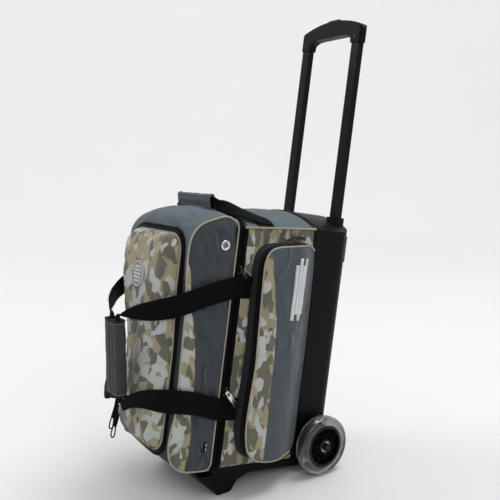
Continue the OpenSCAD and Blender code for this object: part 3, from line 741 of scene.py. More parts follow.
trim = Batch()
for sgn in (1, -1):
    y = np.linspace(-248, -70, 70)
    path = xyz(sgn * (HALF_W + 0.6), y, rear_edge(y) + 0.6)
    trim.tube(path, 2.1)
    path = path[::-1] if sgn > 0 else path
    outward = unit([sgn, 0, 1])
    side = unit(np.cross(tangents(path), outward))
    trim.dots(path + side * 5 + outward * 0.25, side, outward, 1, 3.4, (1.15, 0.3, 0.28))
trim.make("rear_piping", "piping pale_thread", "bag", "grey_fabric")

# Black binding where the grey top meets the tub
binding = Batch()
x = np.linspace(-HALF_W - 0.6, HALF_W + 0.6, 90)
down = np.linspace(452, -20, 60)[1:]
path = even(np.vstack([xyz(-HALF_W - 0.9, -66, down[::-1]),
                       xyz(x, -67, 452.3 + arch_height(x, HALF_W + 1)), xyz(HALF_W + 0.9, -66, down)]), 220)
binding.band(path, [0, -7.5, 0], 0.8, crown=0.5)
binding.make("tub_binding", "binding", "bag", "webbing")


def zip_ring(y0, y1, name, body, node, tooth_y):
    """One tape of the main zip, from y0 to y1, with its teeth and two rows of stitches."""
    b = Batch()
    b.band(ring((y0 + y1) / 2, 1.0), [0, (y1 - y0) / 2, 0], 0.55, closed=True)
    path = ring(tooth_y, 1.9, 400)
    x, z = path[:, 0], path[:, 2]
    up = unit(xyz(np.sign(x) * ease(np.abs(x), 112, 127), 0,
                  np.where(z > 400, 1.0, -1.0) * (1 - ease(np.abs(x), 118, 127.5)) + 0.001))
    b.teeth(path, BACK, up, 0, half=(0.62, 1.7, 0.7))
    for y in (y0 + 1.6, y1 - 1.6):
        b.dots(ring(y, 1.75), BACK, up[np.linspace(0, 399, 300).astype(int)], 2, 3.6)
    b.make(name, "tape teeth thread", body, "webbing", [node])


zip_ring(-249.7, -239.0, "main_zip_rear", "bag", "zip_tape_rear", -248.9)

# ---- front lid -----------------------------------------------------------------------------

# Y and Z of the side edge and of the middle line of the lid's wrap, with how squarely it turns
# between them
LID_LINE = [
    [-256.5, 437, -256.5, 467.5, 2.0], [-262, 442, -262, 468.5, 2.0], [-270, 452, -272, 469.5, 2.2],
    [-290, 457, -296, 469, 2.2], [-310, 450, -316, 466, 2.4], [-330, 443, -337, 457, 2.8],
    [-347, 432, -352, 443, 3.4], [-359, 414, -359, 422, 4.5], [-363, 392, -361, 396, 6],
    [-362, 350, -361, 350, 7], [-358, 310, -361, 310, 7], [-355, 270, -361, 270, 7],
    [-354, 200, -361, 200, 7], [-352, 130, -361, 130, 7], [-351, 86, -361, 90, 7], [-357, 50, -361, 50, 7],
    [-359, 17, -358, 18, 7], [-351, -10, -349, -10, 7], [-335, -26, -333, -26, 7],
    [-312, -34, -312, -34, 7], [-285, -35.5, -285, -35.5, 7], [-256.5, -35.5, -256.5, -35.5, 7]]
EDGE_X = 121.5

side_y, side_z, mid_y, mid_z, square = catmull(LID_LINE, 7).T[..., None]
u = np.sin(np.linspace(-1, 1, 71) * math.pi / 2)
k = np.abs(u) ** square
wrap = xyz(u * EDGE_X, mid_y + (side_y - mid_y) * k, mid_z + (side_z - mid_z) * k)
free = (1 - u ** 6) * ease(from_end(len(wrap)), 0, 10)[:, None]
wrap[..., 2] += (free * ease(wrap[..., 2], 380, 440)
                 * (1.8 * ripple(wrap, 95, 11) + 0.9 * ripple(wrap, 30, 12)))
wrap[..., 1] += free * ease(-wrap[..., 1], 330, 350) * ripple(wrap, 60, 13)
wrap = sag(wrap)
rear_close = xyz(125.5 - 4 * (1 - ease(from_end(60), 0, 8)), -256.8, np.linspace(-35.5, 437, 62)[1:-1])
loop = even(shut(np.vstack([xyz(EDGE_X, side_y, side_z)[:, 0], rear_close])), 260, drop_last=True)
for _ in range(6):
    loop = (np.roll(loop, 1, 0) + loop * 2 + np.roll(loop, -1, 0)) / 4


def side_panel(seed):
    """The lid's puffed side panel as loops that shrink towards an upright middle line."""
    centre = xyz(0, -306, np.clip(loop[:, 2], 45, 385))
    rows = []
    for k in np.r_[0, 0.035, np.linspace(0.08, 0.95, 20)]:
        q = loop + (centre - loop) * k
        q[:, 0] = loop[:, 0] * (1 - k) + 121.8 * k + 6.5 * (1 - (1 - min(k / 0.55, 1.0)) ** 2.2)
        rows.append(q)
    p = np.array(rows)
    inside = ease(np.arange(len(rows)), 0.5, 7)[:, None]
    slant = p * [1, 1.6, 1]
    slant[..., 2] += p[..., 1] * 0.9
    creases = np.abs(ripple(slant * [1, 1, 0.6], 62, seed, 2))
    folds = np.abs(ripple(slant * [1, 0.6, 1.1], 95, seed + 3, 2))
    p[..., 0] += inside * (3.4 - 4.6 * creases - 4.0 * (1 - folds) ** 3 + 0.9 * ripple(p, 24, seed + 1, 2))
    # the straps press the panel in where they cross it
    for z0 in (300, 100):
        p[..., 0] -= inside * 3.0 * np.exp(-((p[..., 2] - z0 + 0.15 * (p[..., 1] + 300)) / 26) ** 2)
    by_eyelet = np.hypot(p[..., 1] + 287, p[..., 2] - 402)
    p[..., 0] = np.minimum(p[..., 0], 129.0 - 2.6 * ease(-by_eyelet, -20, -12))
    return p


lid = Batch()
lid.grid(wrap)
lid.plate(sag(side_panel(21)), 1)
lid.plate(sag(mirrored(side_panel(25))), 1, flip=True)
lid_body = lid.make("lid_body", "dome lid_side lining", "front_lid", "grey_fabric",
                    ["lid_shell"], outward=True)
solid(lid_body, 2.4, 2)

# Piping round the side panel and behind it, and the strip between that and the zip tape
behind = spline([[121.8, -270, 452.3], [124.6, -265.6, 449.5], [127.4, -262.8, 440], [128.3, -262.3, 424],
                 [128.3, -262.3, 350], [128.0, -262.3, 250], [128.0, -262.3, 150], [128.2, -262.3, 60],
                 [128.2, -262.3, -14], [127.0, -263.0, -26], [123.5, -265.5, -33]], 120)
z = np.linspace(-33, 440, 90)
strip = np.array([xyz(x, y, z) for x, y in ((123.5, -262.5), (126.6, -261.5), (127.6, -259.0))])
lid_trim, welt = Batch(), Batch()
for tail, keep in SIDES:
    q = loop.copy()
    q[:, 0] = np.maximum(q[:, 0], EDGE_X) + 0.6
    lid_trim.tube(sag(keep(q)), 1.8, closed=True)
    lid_trim.tube(keep(behind), 1.5)
    welt.grid(keep(strip), flip=keep is mirrored)
lid_trim.make("lid_piping", "piping", "front_lid", "grey_fabric")
zip_ring(-261.0, -250.1, "main_zip_front", "front_lid", "zip_tape_lid", -250.9)
solid(welt.make("lid_welt", "tape", "front_lid", "webbing"), 1.0)

# ---- front pocket --------------------------------------------------------------------------

def in_front(q, y):
    return xyz(q[:, 0], y, q[:, 1])


def pocket_ring(off, y):
    """A ring off millimetres outside the front pocket's edge, at a depth y before the bag sags."""
    return sag(in_front(outline((-98 - off, 4 - off), (98 + off, 412 + off), 34 + off), y))


edge = outline((-98, 4), (98, 412), 34)
centre = np.stack([np.clip(edge[:, 0], -6, 6) * 0.2, np.clip(edge[:, 1], 110, 306)], 1)
inwards = unit(centre - edge)
last = edge + inwards * 30
cover = np.array([in_front(edge + inwards * 30 * (1 - math.cos(a)), -366.5 - 25.5 * math.sin(a))
                  for a in np.linspace(0, math.pi / 2, 9)]
                 + [in_front(last + (centre - last) * k, -392.0 - 1.8 * math.sin(k * math.pi / 2))
                    for k in np.linspace(0, 0.94, 22)[1:]])
inside = ease(np.arange(len(cover)), 0, 6)[:, None]
rim = inside * (1 - ease(np.arange(len(cover)), 9, 15))[:, None]
cross = cover * [0.35, 1, 1]
cover[..., 1] += inside * (1.6 * ripple(cover, 110, 31) + 0.7 * ripple(cover, 36, 32))
cover[..., 1] += rim * 1.7 * ripple(cross, 27, 33, 2) * (1 + 0.8 * ease(-cover[..., 0], 40, 98))
cover[..., 0] += rim * 1.2 * ripple(cross, 24, 34, 2)
front = Batch()
front.plate(sag(cover))
front_cover = front.make("front_cover", "pocket_front lining", "front_lid", "camo_fabric",
                         ["front_pocket"], outward=True)
solid(front_cover, 2.0, 1)
pipe = Batch()
pipe.tube(pocket_ring(0.8, -366.3), 1.7, closed=True)
pipe.make("front_piping", "piping", "front_lid", "grey_fabric")

band = Batch()
band.grid(np.array([pocket_ring(off, y) for off, y in
                    ((13.0, -361.4), (11.0, -362.8), (6.2, -364.6), (4.2, -365.0), (1.6, -365.4),
                     (-0.5, -365.0))]), close_v=True)
line = shut(pocket_ring(4.8, -365.3))
for shift in (-1.25, 1.25):
    band.teeth(line, np.cross(tangents(line), FORWARD), FORWARD, 1, shift=shift)
for off, y in ((2.0, -365.8), (9.5, -364.2)):
    line = shut(pocket_ring(off, y))
    band.dots(line, np.cross(tangents(line), FORWARD), FORWARD, 2, 3.4)
band.make("front_zip", "tape teeth thread", "front_lid", "webbing", ["front_zip_band"])

# Roundel with a plain ring and bars
roundel = Batch()
mid = np.array([-8, -394.3, 325])
around = circle(48)[:, [1, 0, 2]]
roundel.grid(np.array([mid + around * r - [0, h, 0] for r, h in
                       ((26, -0.6), (26, 0.5), (24.5, 1.2), (22.6, 1.2), (22.2, 0.5), (14, 0.5),
                        (0.1, 0.5))]), close_v=True)
roundel.tube(mid + around * 24.4 - [0, 1.1, 0], 1.1, 1, 6, closed=True)
for k in range(-2, 3):
    half = math.sqrt(20 ** 2 - (k * 7) ** 2) * 0.72
    roundel.block(mid + [0, -1.1, k * 7], (half, 0.5, 1.9), 1)
bevel(roundel.make("roundel", "badge badge_edge", "front_lid", "badge", ["emblem"],
                   outward=True), 0.3, 1)

# Plain tag low on the near side panel
tag = Batch()
tag.block((129.6, -281, 14), (0.5, 3.6, 10.0))
for k in range(2):
    tag.block((130.15, -279.6, 9.5 + 9 * k), (0.12, 0.8, 3.2), 1)
bevel(tag.make("side_tag", "binding label", "front_lid", "badge"), 0.3, 1)

# Eyelets with a fine mesh in their middle
rings = Batch()
eyelet = np.array([126.2, -287, 402.0])
for tail, keep in SIDES:
    rings.grid(keep(turned([(-0.6, 10.2), (1.0, 10.2), (2.0, 9.4), (2.5, 8.0), (2.0, 6.6), (0.9, 5.8),
                            (-0.6, 5.8)], eyelet, 40)), close_v=True)
    rings.grid(keep(turned([(0.2, 5.9), (0.2, 0.05)], eyelet, 40)), 1, close_v=True)
    for k in range(-3, 4):
        half = math.sqrt(5.8 ** 2 - (k * 1.6) ** 2)
        for wire in (BACK, UP):
            c = eyelet + np.cross(wire, NEAR) * k * 1.6 + NEAR * 0.7
            rings.tube(keep(np.array([c - wire * half, c + wire * half])), 0.22, 0, 5)
harden(rings.make("eyelet_rings", "silver black_metal", "front_lid", "chrome_trim", ["eyelets"],
                  outward=True), 50)

# ---- side pockets --------------------------------------------------------------------------

SIDE_EDGE = [
    [-119, -15], [-157, -15], [-186, -8], [-203, 8], [-211, 34], [-214, 68], [-212, 123], [-209, 180],
    [-211, 229], [-214, 300], [-216, 353], [-215, 380], [-206, 399], [-188, 408], [-152, 413], [-104, 417],
    [-76, 409], [-68, 380], [-65, 290], [-62, 180], [-61, 80], [-64, 4], [-76, -12], [-98, -14]]
side_line = spline(SIDE_EDGE, 240, closed=True)
outwards = tangents(side_line, True)[:, ::-1] * [-1, 1]


def out_x(y):
    """How far the side cover's rim stands out at a depth y: it dives to the tub at its rear."""
    return 163 - (163 - 133.5) * ease(y, -140, -66) ** 1.15


def swell(y):
    """How far the middle of the cover stands out beyond its rim."""
    return 3.5 * (1 - ease(y, -120, -70))


def cover_folds(p):
    return 1.0 * ripple(p, 120, 41) + 0.9 * ripple(p * [1, 1, 0.55], 40, 42)


def side_ring(off, x):
    """A ring round the side pocket, off millimetres outside the cover's edge."""
    q = side_line + outwards * off
    return xyz(x, np.minimum(q[:, 0], -62.5), q[:, 1])


def run_before(y):
    """Numbers of the points of side_line in front of a depth y, in one unbroken run."""
    before = side_line[:, 0] < y
    ids = np.roll(np.arange(240), -int(np.argmax(~before)))
    return ids[before[ids]]


rim_x = out_x(side_line[:, 0])
wall = np.minimum(rim_x, 146.0)
zip_x = np.maximum(rim_x - 9.0, wall)         # where the two rows of teeth meet
centre = np.stack([np.clip(side_line[:, 0], -150, -128) * 0.4 - 84, np.clip(side_line[:, 1], 90, 310)], 1)
rows = []
for a in np.linspace(0, math.pi / 2, 6):
    q = side_line + unit(centre - side_line) * 12 * (1 - math.cos(a))
    rows.append(xyz(out_x(q[:, 0]) + swell(side_line[:, 0]) * math.sin(a), q[:, 0], q[:, 1]))
last = rows[-1][:, 1:]
for k in np.linspace(0, 0.9, 20)[1:]:
    q = last + (centre - last) * k
    rows.append(xyz(out_x(q[:, 0]) + swell(q[:, 0]), q[:, 0], q[:, 1]))
panel = np.array(rows)
inside = ease(np.arange(len(panel)), 0, 6)[:, None]
panel[..., 0] += inside * cover_folds(panel) - 0.5
panel[..., 0] += inside * 1.3 * np.exp(-((panel[..., 1] + 178) / 26) ** 2)
zip_run = run_before(-92)
upward = xyz(0, *outwards[zip_run].T)

for tail, keep in SIDES:
    far = keep is mirrored
    # fixed half: gusset and the inner zip tape
    base = Batch()
    gusset = np.array([side_ring(5.0, 126.6), side_ring(4.0, 129.5)]
                      + [side_ring(1.5 + 1.1 * math.sin(k * math.pi), 129.5 + (wall - 129.5) * k)
                         for k in np.linspace(0.15, 1, 7)])
    gusset[..., 1] += 0.8 * ripple(gusset, 34, 51) * ease(gusset[..., 0], 128, 138)
    base.grid(keep(gusset), close_v=True, flip=far)
    tape = np.array([side_ring(1.6, wall - 0.4), side_ring(1.2, (wall + zip_x) / 2),
                     side_ring(0.9, np.maximum(rim_x - 9.6, wall))])
    base.grid(keep(tape), 1, close_v=True, flip=far)
    base.teeth(keep(side_ring(1.4, zip_x - 0.9)[zip_run]), NEAR, keep(upward), 2)
    base.dots(keep(side_ring(2.0, wall + 1.5)[zip_run]), NEAR, keep(upward), 3, 3.4)
    face = list(range(240))
    base.add(keep(side_ring(-0.6, 129.4)), [face[::-1] if far else face], 4)
    solid(base.make("side_base_" + tail, "gusset tape teeth thread lining", "bag",
                    "dark_fabric", ["pocket_base_" + tail]), 1.0)
    # opening half: outer tape, piping and the padded cover
    cover = Batch()
    tape = np.array([side_ring(0.9, np.maximum(rim_x - 9.2, wall + 0.2)),
                     side_ring(0.8, rim_x - 4.0 * ease(rim_x, 133, 150)), side_ring(0.4, rim_x - 0.2)])
    cover.grid(keep(tape), 1, close_v=True, flip=far)
    cover.teeth(keep(side_ring(1.4, zip_x + 0.9)[zip_run]), NEAR, keep(upward), 2)
    cover.dots(keep(side_ring(1.2, rim_x - 3.2)[zip_run]), NEAR, keep(upward), 3, 3.4)
    around = side_ring(0.5, rim_x + 0.3)
    cover.tube(keep(around[run_before(-72)]), 1.8, 4)
    cover.tube(keep(around), 1.2, 1, closed=True)
    zips = cover.make("side_zip_" + tail, "tape tape teeth thread piping",
                      None, "webbing")
    bend = (place(keep([131, -64, 200.0])), place(keep([131, -88, 200.0])))
    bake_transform(zips)
    pad = Batch()
    pad.plate(keep(panel), flip=far)
    for k in range(4):
        y, long = -141 + k * 9.0, k % 2
        bar = np.array([xyz(out_x(y + dy) + swell(y + dy) + h, y + dy,
                            np.linspace(268 + 12 * long, 378 + 14 * long, 30))
                        for dy, h in ((0, 0.0), (0.4, 1.9), (4.6, 1.9), (5, 0.0))])
        bar[..., 0] += cover_folds(bar) - 0.5
        pad.grid(keep(bar), 2, flip=not far)
    panel_ob = pad.make("side_cover_" + tail, "pocket_side lining print",
                        None, "camo_fabric", ["side_lid_" + tail])
    solid(panel_ob, 1.6, 1)
    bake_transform(applied(panel_ob))

# ---- tote straps ---------------------------------------------------------------------------

GRIP_CENTRE = np.array([0, -424.5, 162.0])
GRIP_MID = np.array([14.0, 0.0])              # middle of one half's section
start, end = np.array([131.5, -246, 325.0]), np.array([131.5, -246, 85.0])
upper = [[0, 0, 0], [0.8, -9, -0.3], [2, -34, -7], [3, -72, -18], [0, -104, -31], [-18, -134, -46],
         [-46, -158, -58], [-74, -176, -67], [-97, -186, -74]]
lower = [[-97, -171, -8], [-74, -164, 6], [-46, -152, 16], [-16, -131, 20], [0, -104, 21], [3, -72, 17],
         [2, -34, 7], [0.8, -9, 0.3], [0, 0, 0]]
knots = np.vstack([start + upper, [GRIP_CENTRE + NEAR * 13.8 + tipped(UP, LEAN) * k
                                   for k in (79, 40, 0, -40, -79)], end + lower])
widths = [[0, 0, 22.0]] * 5 + [[0, 0, 21.5], [4, 0, 20], [8, 0, 15], [9, 0, 9]] + [[10, 0, 0]] * 5 \
    + [[9, 0, -7], [7, 0, -11], [3, 0, -17]] + [[0, 0, -21.5]] + [[0, 0, -22.0]] * 5
half_t = np.array([[1.2]] * 9 + [[2.3]] * 5 + [[1.2]] * 9)
STRAP = spline(np.hstack([knots, widths, half_t]), 200)


def strap(tail, keep):
    path, across = keep(STRAP[:, :3]), keep(STRAP[:, 3:6])
    b = Batch()
    b.band(path, across, STRAP[:, 6:])
    strap_stitches(b, path, across, 0.88, STRAP[:, 6:] + 0.05, (slice(2, 70), slice(132, 198)))
    b.make("tote_webbing_" + tail, "web thread", "tote_" + tail, "webbing",
           ["tote_strap_" + tail])


def grip_half(tail, keep):
    """Half of the padded wrap: a soft hollow shell with bound ends and stitched borders."""
    outer = np.vstack([
        corner((3.4, -9), 3, 180, 270, 4), np.linspace((8, -12), (15, -12), 4),
        corner((17, -2), 10, 270, 360, 7), np.linspace((27, -0.5), (27, 0.5), 4),
        corner((17, 2), 10, 0, 90, 7), np.linspace((15, 12), (8, 12), 4), corner((3.4, 9), 3, 90, 180, 4)])

    def section(k, z):
        q = GRIP_MID + (outer - GRIP_MID) * k
        return xyz(q[:, 0], q[:, 1], z)

    def turn(v):
        return keep(tipped(v, LEAN))

    def world(q):
        return keep(GRIP_CENTRE + tipped(q, LEAN))

    lens = np.r_[-75, -74.4, np.linspace(-72, 72, 60), 74.4, 75]
    p = np.array([section(1 - 0.06 * ease(abs(z), 71, 75), z) for z in lens])
    free = ease(75 - np.abs(p[..., 2]), 1, 16)
    p[..., 1] += np.sign(p[..., 1]) * free * (0.7 + 0.8 * ripple(p, 46, 61, 2))
    p[..., 0] += ease(p[..., 0], 12, 27) * free * 0.8 * ripple(p, 40, 62, 2)
    b = Batch()
    b.grid(world([section(0.8, -66), section(0.84, -75), *p, section(0.84, 75), section(0.8, 66)]),
           close_v=True)
    for z in (-74, 74):
        b.tube(world(section(1, z)), 1.25, 1, 6, closed=True)
    thread = (1.1, 0.35, 0.3)
    for z in (-69, 69):
        rim = section(1.03, z)
        b.dots(world(rim), turn(UP), turn(unit(rim - [*GRIP_MID, z])), 2, half=thread)
    for depth in (-1, 1):
        for x in (6.0, 21.0):
            z = np.linspace(-66, 66, 60)
            row = np.argmin(np.abs(outer[:, 0] - x) + np.where(outer[:, 1] * depth > 0, 0, 99))
            line = xyz(x, np.interp(z, lens, p[:, row, 1]) + depth * 0.35, z)
            b.dots(world(line), turn(NEAR), turn(BACK * depth), 2, half=thread)
    b.make("grip_wrap_" + tail, "wrap binding pale_thread", "tote_" + tail,
                     "dark_fabric", ["grip_half_" + tail], outward=True)


for tail, keep in SIDES:
    strap(tail, keep)
    grip_half(tail, keep)

# Sewn strap ends: a box with a cross on the gussets, and the top handle's ends
anchors = Batch()
for tail, keep in SIDES:
    for z0 in (325.0, 85.0):
        anchors.band(keep(xyz(130, np.linspace(-218.8, -244.6, 8), z0)), [0, 0, 22], 1.15)
        for line in ([(-221, -19), (-242, -19), (-242, 19), (-221, 19), (-221, -19)],
                     [(-221, -19), (-242, 19)], [(-221, 19), (-242, -19)]):
            q = even([[131.4, y, z0 + dz] for y, dz in line], 40)
            anchors.dots(keep(q), keep(np.cross(tangents(q), NEAR)), keep(NEAR), 1, 3.0, (1.1, 0.3, 0.25))
    a = math.radians(27)
    along, off = np.array([math.cos(a), 0, -math.sin(a)]), np.array([math.sin(a), 0, math.cos(a)])
    path = np.array([[122.4, -195.5, 445.6] + off * 1.6 + along * k for k in (-3.4, -1.2, 1.2, 3.4)])
    anchors.band(keep(path), keep([0, 20.0, 1.4]), 1.0)
anchors.make("strap_ends", "web thread", "bag", "webbing", ["webbing_anchors"])

# ---- top handle ----------------------------------------------------------------------------

leg = np.array([[0, 0, 0], [-8, -0.3, 4.6], [-16, -14.5, 9.9], [-26, -40.5, 15.9], [-37, -66.5, 21.9],
                [-45, -84.5, 25.4], [-57, -91.5, 29.4]]) + [117, -195.5, 450.6]
leg_across = [[0, 21, 1.4], [-2, 20, 2], [-10, 14, 5], [-13, 9, 9], [-9, 3, 13], [-3, -1, 12],
              [0, -2.66, 10.67]]
legs = np.hstack([leg, leg_across])
TOP = spline(np.vstack([legs, legs[::-1] * ([-1, 1, 1] * 2)]), 180)
handle = Batch()
handle.band(TOP[:, :3], TOP[:, 3:], 1.2)
strap_stitches(handle, TOP[:, :3], TOP[:, 3:], 0.86, 1.3, (slice(1, 60), slice(120, 179)))
handle.make("top_webbing", "web thread", "top_handle", "webbing", ["top_strap"])

TILT = math.radians(14)
section = outline((-6, -16), (6, 16), 5.4, 7, 0, 0)


def pad_ring(x, k=1.0):
    return xyz(x, section[:, 0] * k, section[:, 1] * k)


def pad_place(q):
    return tipped(q, TILT) + [0, -287, 480]


xs = np.r_[-62, -61.6, np.linspace(-60, 60, 56), 61.6, 62]
p = np.array([pad_ring(x, 1 - 0.05 * ease(abs(x), 59, 62)) for x in xs])
free = ease(62 - np.abs(p[..., 0]), 1, 14)
p[..., 1] += np.sign(p[..., 1]) * free * (0.8 * (1 - (p[..., 2] / 16) ** 2) + 0.7 * ripple(p, 40, 71, 2))
p[..., 1] -= np.sign(p[..., 1]) * 1.1 * np.exp(-(p[..., 2] / 1.4) ** 2) * free
p[..., 2] += free * 0.8 * ripple(p, 50, 72, 2)
pad = Batch()
pad.grid(pad_place([pad_ring(-52, 0.7), pad_ring(-62, 0.78), *p, pad_ring(62, 0.78), pad_ring(52, 0.7)]),
         close_v=True)
for x in (-61.3, 61.3):
    pad.tube(pad_place(pad_ring(x)), 1.1, 1, 6, closed=True)
x = np.linspace(-58, 58, 60)
for depth in (-1, 1):
    for z in (-1.6, 1.6, -12.5, 12.5):
        row = np.argmin(np.abs(section[:, 1] - z) + np.where(section[:, 0] * depth > 0, 0, 99))
        line = xyz(x, np.interp(x, xs, p[:, row, 1]) + depth * 0.35, z)
        pad.dots(pad_place(line), tipped(UP, TILT), tipped(BACK * depth, TILT), 2, 3.3, (1.1, 0.3, 0.25))
pad.make("top_grip_pad", "grey grey thread", "top_handle", "grey_fabric",
                   ["top_pad"], outward=True)

# ---- wheels: a rim, a recessed disc and curved twin spokes -----------------------------------

WHEEL_PARTS = (                               # profiles of (distance out, radius), and their material
    ([(-12, 37.6), (-12, 43.6), (-11, 44.6), (11, 44.6), (12.4, 44.2), (13.0, 43.0), (13.0, 39.6),
      (12.2, 38.4), (8, 37.2), (-12, 37.6)], 0),
    ([(-3, 15.0), (-3, 37.8), (-0.6, 37.8), (-0.6, 15.0), (-3, 15.0)], 1),
    ([(-13, 11.2), (-13, 16), (10, 16), (12.2, 15.2), (13, 13.8), (13, 11.2), (-13, 11.2)], 0))
TREAD = spline([(-13.2, 44.8), (-14.6, 47.5), (-14.6, 54), (-12.4, 58.8), (-8, 61.6), (0, 62.5), (8, 61.6),
                (12.4, 58.8), (14.6, 54), (14.6, 47.5), (13.2, 44.8)], 30)

for tail, keep in SIDES:
    lo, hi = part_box("hub_" + tail)
    wheel = NEAR * abs((lo.x + hi.x) / 2) * 1000
    glass = Batch()
    glass.grid(keep(turned(shut(np.vstack([TREAD, [(0, 44.8)]])), wheel, 144)), close_v=True)
    harden(glass.make("wheel_tyre_" + tail, "tyre", "wheel_" + tail, "tyre_clear", ["tyre_" + tail],
                      outward=True, merge=0.00001), 40)
    w = Batch()
    for points, mat in WHEEL_PARTS:
        w.grid(keep(turned(points, wheel, 96)), mat, close_v=True)
    r = np.linspace(15.2, 38.2, 14)
    f = (r - 15.2) / 23
    for k in range(10):
        for sgn in (-1, 1):
            angle = math.radians(36) * k + 0.42 * f ** 1.3 + sgn * (0.03 + 0.17 * np.sin(f * 1.9))
            path = xyz(wheel[0] + 3.2, r * np.cos(angle), r * np.sin(angle))
            w.band(keep(path), keep(xyz(4.2 + 1.6 * (1 - f), 0, 0)), 1.05, n=5)
    harden(w.make("wheel_hub_" + tail, "gloss plastic", "wheel_" + tail, "hub_plastic",
                  ["hub_" + tail], outward=True), 38)

# ---- front pocket sliders and their hanging pulls --------------------------------------------

SHIFT = np.array([13 + SAG_FAR, SAG_BACK, 0])
WIDE = np.array([0.84, 0.54, 0])              # the pulls hang turned a little
BOW = np.array([[-2.6, 2], [-3.6, -6], [-4.2, -16], [-3.1, -21.5], [0, -23.4],
                [3.1, -21.5], [4.2, -16], [3.6, -6], [2.6, 2]])
for tail, z0, dx, drop in (("upper", 64.0, -5.0, 76.0), ("lower", 44.0, 4.6, 70.0)):
    at = np.array([-102.8, -366.4, z0]) + SHIFT
    s = Batch()
    for dz, half_w in ((-5, 3.2), (5, 4.4)):
        s.block(at + [0, -1.2, dz * 0.5], (half_w, 2.4, 3.2))
    s.block(at + [0, -4.2, 0], (1.3, 1.2, 5.0))
    root = np.array([-102.8 + SHIFT[0] + dx, -373.4, z0])
    s.tube([at + [0, -5, 2], at + [dx * 0.5, -9, 2.4], root + [0, 1, 1.5], root + [0, -1.2, 0.2],
            root + [0, 0.6, -1.6], at + [dx * 0.4, -8, -1.5], at + [0, -5, -1.5]], 0.8, 0, 7)
    bevel(s.make("front_zip_slider_" + tail, "black_metal", "front_slider_%s_body" % tail, "zip_metal",
                 ["front_slider_" + tail], outward=True), 0.7)
    s = Batch()
    top, tab = root + [0, 0, -1.4], drop - 26
    line = spline([top, top + [dx * 0.1 - 1, -1.2, -tab * 0.5], top + [dx * 0.3 - 5, -3.5, -tab]], 16)
    s.band(line, WIDE * 4.7, 1.5, 1)
    bow = line[-1] + np.outer(BOW[:, 0], WIDE) + np.outer(BOW[:, 1], [0.1, 0.05, 1.0])
    s.tube(spline(bow, 40), 1.45, 1, 7)
    s.tube(spline(top + [[-2, 0, 1], [-2, 0, -1], [2, 0, -1], [2, 0, 1]], 20, closed=True), 0.8, 0, 7)
    s.make("front_zip_pull_" + tail, "black_metal web", "front_pull_%s_body" % tail, "zip_metal",
           ["front_pull_" + tail])


def pull_plate(tail, root, down, side, long, mat):
    """A zip pull that broadens below its root, with a window and a raised rim."""
    root, down, side = np.asarray(root, float), unit(down), unit(side)
    out = np.cross(side, down)

    def sheet(pts, h):
        return root + np.outer(pts[:, 0], side) + np.outer(pts[:, 1], down) + out * h

    b = Batch()
    edge = np.array([[-3.2, -1], [-3.4, 6], [-4.9, 12], [-5.2, long - 2.5], [-3.6, long], [3.6, long],
                     [5.2, long - 2.5], [4.9, 12], [3.4, 6], [3.2, -1]])
    hole = np.array([[-1.9, 2.2], [-1.9, 6], [-3.1, 13], [-3.2, long - 6], [-2.4, long - 4.6],
                     [2.4, long - 4.6], [3.2, long - 6], [3.1, 13], [1.9, 6], [1.9, 2.2]])
    b.grid(np.array([sheet(pts, h) for pts, h in
                     ((hole, -0.6), (edge, -0.6), (edge * [1.03, 1], 0), (edge, 0.7), (hole, 0.8),
                      (hole, -0.6))]), close_v=True)
    pane = np.array([[-3.2, 11.5], [-3.2, long - 5.6], [3.2, long - 5.6], [3.2, 11.5]])
    for h in (-0.3, 0.3):
        b.add(sheet(pane, h), [[0, 1, 2, 3]] if h > 0 else [[3, 2, 1, 0]], 1)
    bevel(b.make(tail + "_plate", mat + " " + mat, tail + "_body", "zip_metal", [tail], smooth=False),
          0.25, 2, 25)


for tail, z0, long, slant, mat in (("main_pull_upper", 358.0, 36.0, 52.0, "black_metal"),
                                   ("main_pull_lower", 121.0, 41.0, 45.0, "silver")):
    a = math.radians(slant)
    pull_plate(tail, (135.4, -250.0, z0), (0, math.sin(a), -math.cos(a)), (0, math.cos(a), math.sin(a)),
               long, mat)
for tail, sgn in (("near", 1), ("far", -1)):
    pull_plate("side_pull_" + tail, (sgn * 149.2, -150.0, 430.4), BACK, (-0.83, 0, 0.56 * sgn), 36.0,
               "black_metal")

# ---- carried-over CAD nodes ----------------------------------------------------------------

LOOKS = {                                     # material, and the width of the rounded edges
    "back_tub": ("tub", 1.6), "back_board": ("lining", 0.4), "ball_cradle": ("foam", 1.5),
    "floor_pad": ("foam", 1.5), "base_plate": ("tub", 1.0), "front_foot": ("tub", 1.2),
    "base_screws": ("zinc", 0.3), "sleeve_near": ("zinc", 0.4), "sleeve_far": ("zinc", 0.4),
    "tow_housing": ("plastic", 1.0), "sleeve_bracket": ("plastic", 0.8), "wheel_mount_near": ("tub", 1.0),
    "wheel_mount_far": ("tub", 1.0), "axle": ("zinc", 0.3), "axle_caps": ("gloss", 0.6),
    "tube_near": ("tube", 1.4), "tube_far": ("tube", 1.4), "tow_grip": ("tub", 1.5),
    "grip_screws": ("black_metal", 0.3), "tube_plugs": ("acetal", 0.4), "release_button": ("gloss", 1.6),
    "push_rods": ("zinc", 0.3), "bearings_near": ("zinc", 0.3), "bearings_far": ("zinc", 0.3),
    "main_slider_upper": ("black_metal", 0.5), "main_slider_lower": ("black_metal", 0.5),
    "side_slider_near": ("black_metal", 0.5), "side_slider_far": ("black_metal", 0.5),
}
for name, (key, width) in LOOKS.items():
    ob = NODES[name]
    ob.data.materials.clear()
    ob.data.materials.append(M[key])
    for poly in ob.data.polygons:
        poly.use_smooth = True
    bevel(ob, width)
    ob.modifiers.new("weights", "WEIGHTED_NORMAL").keep_sharp = True

# ---- floor, light and camera ---------------------------------------------------------------

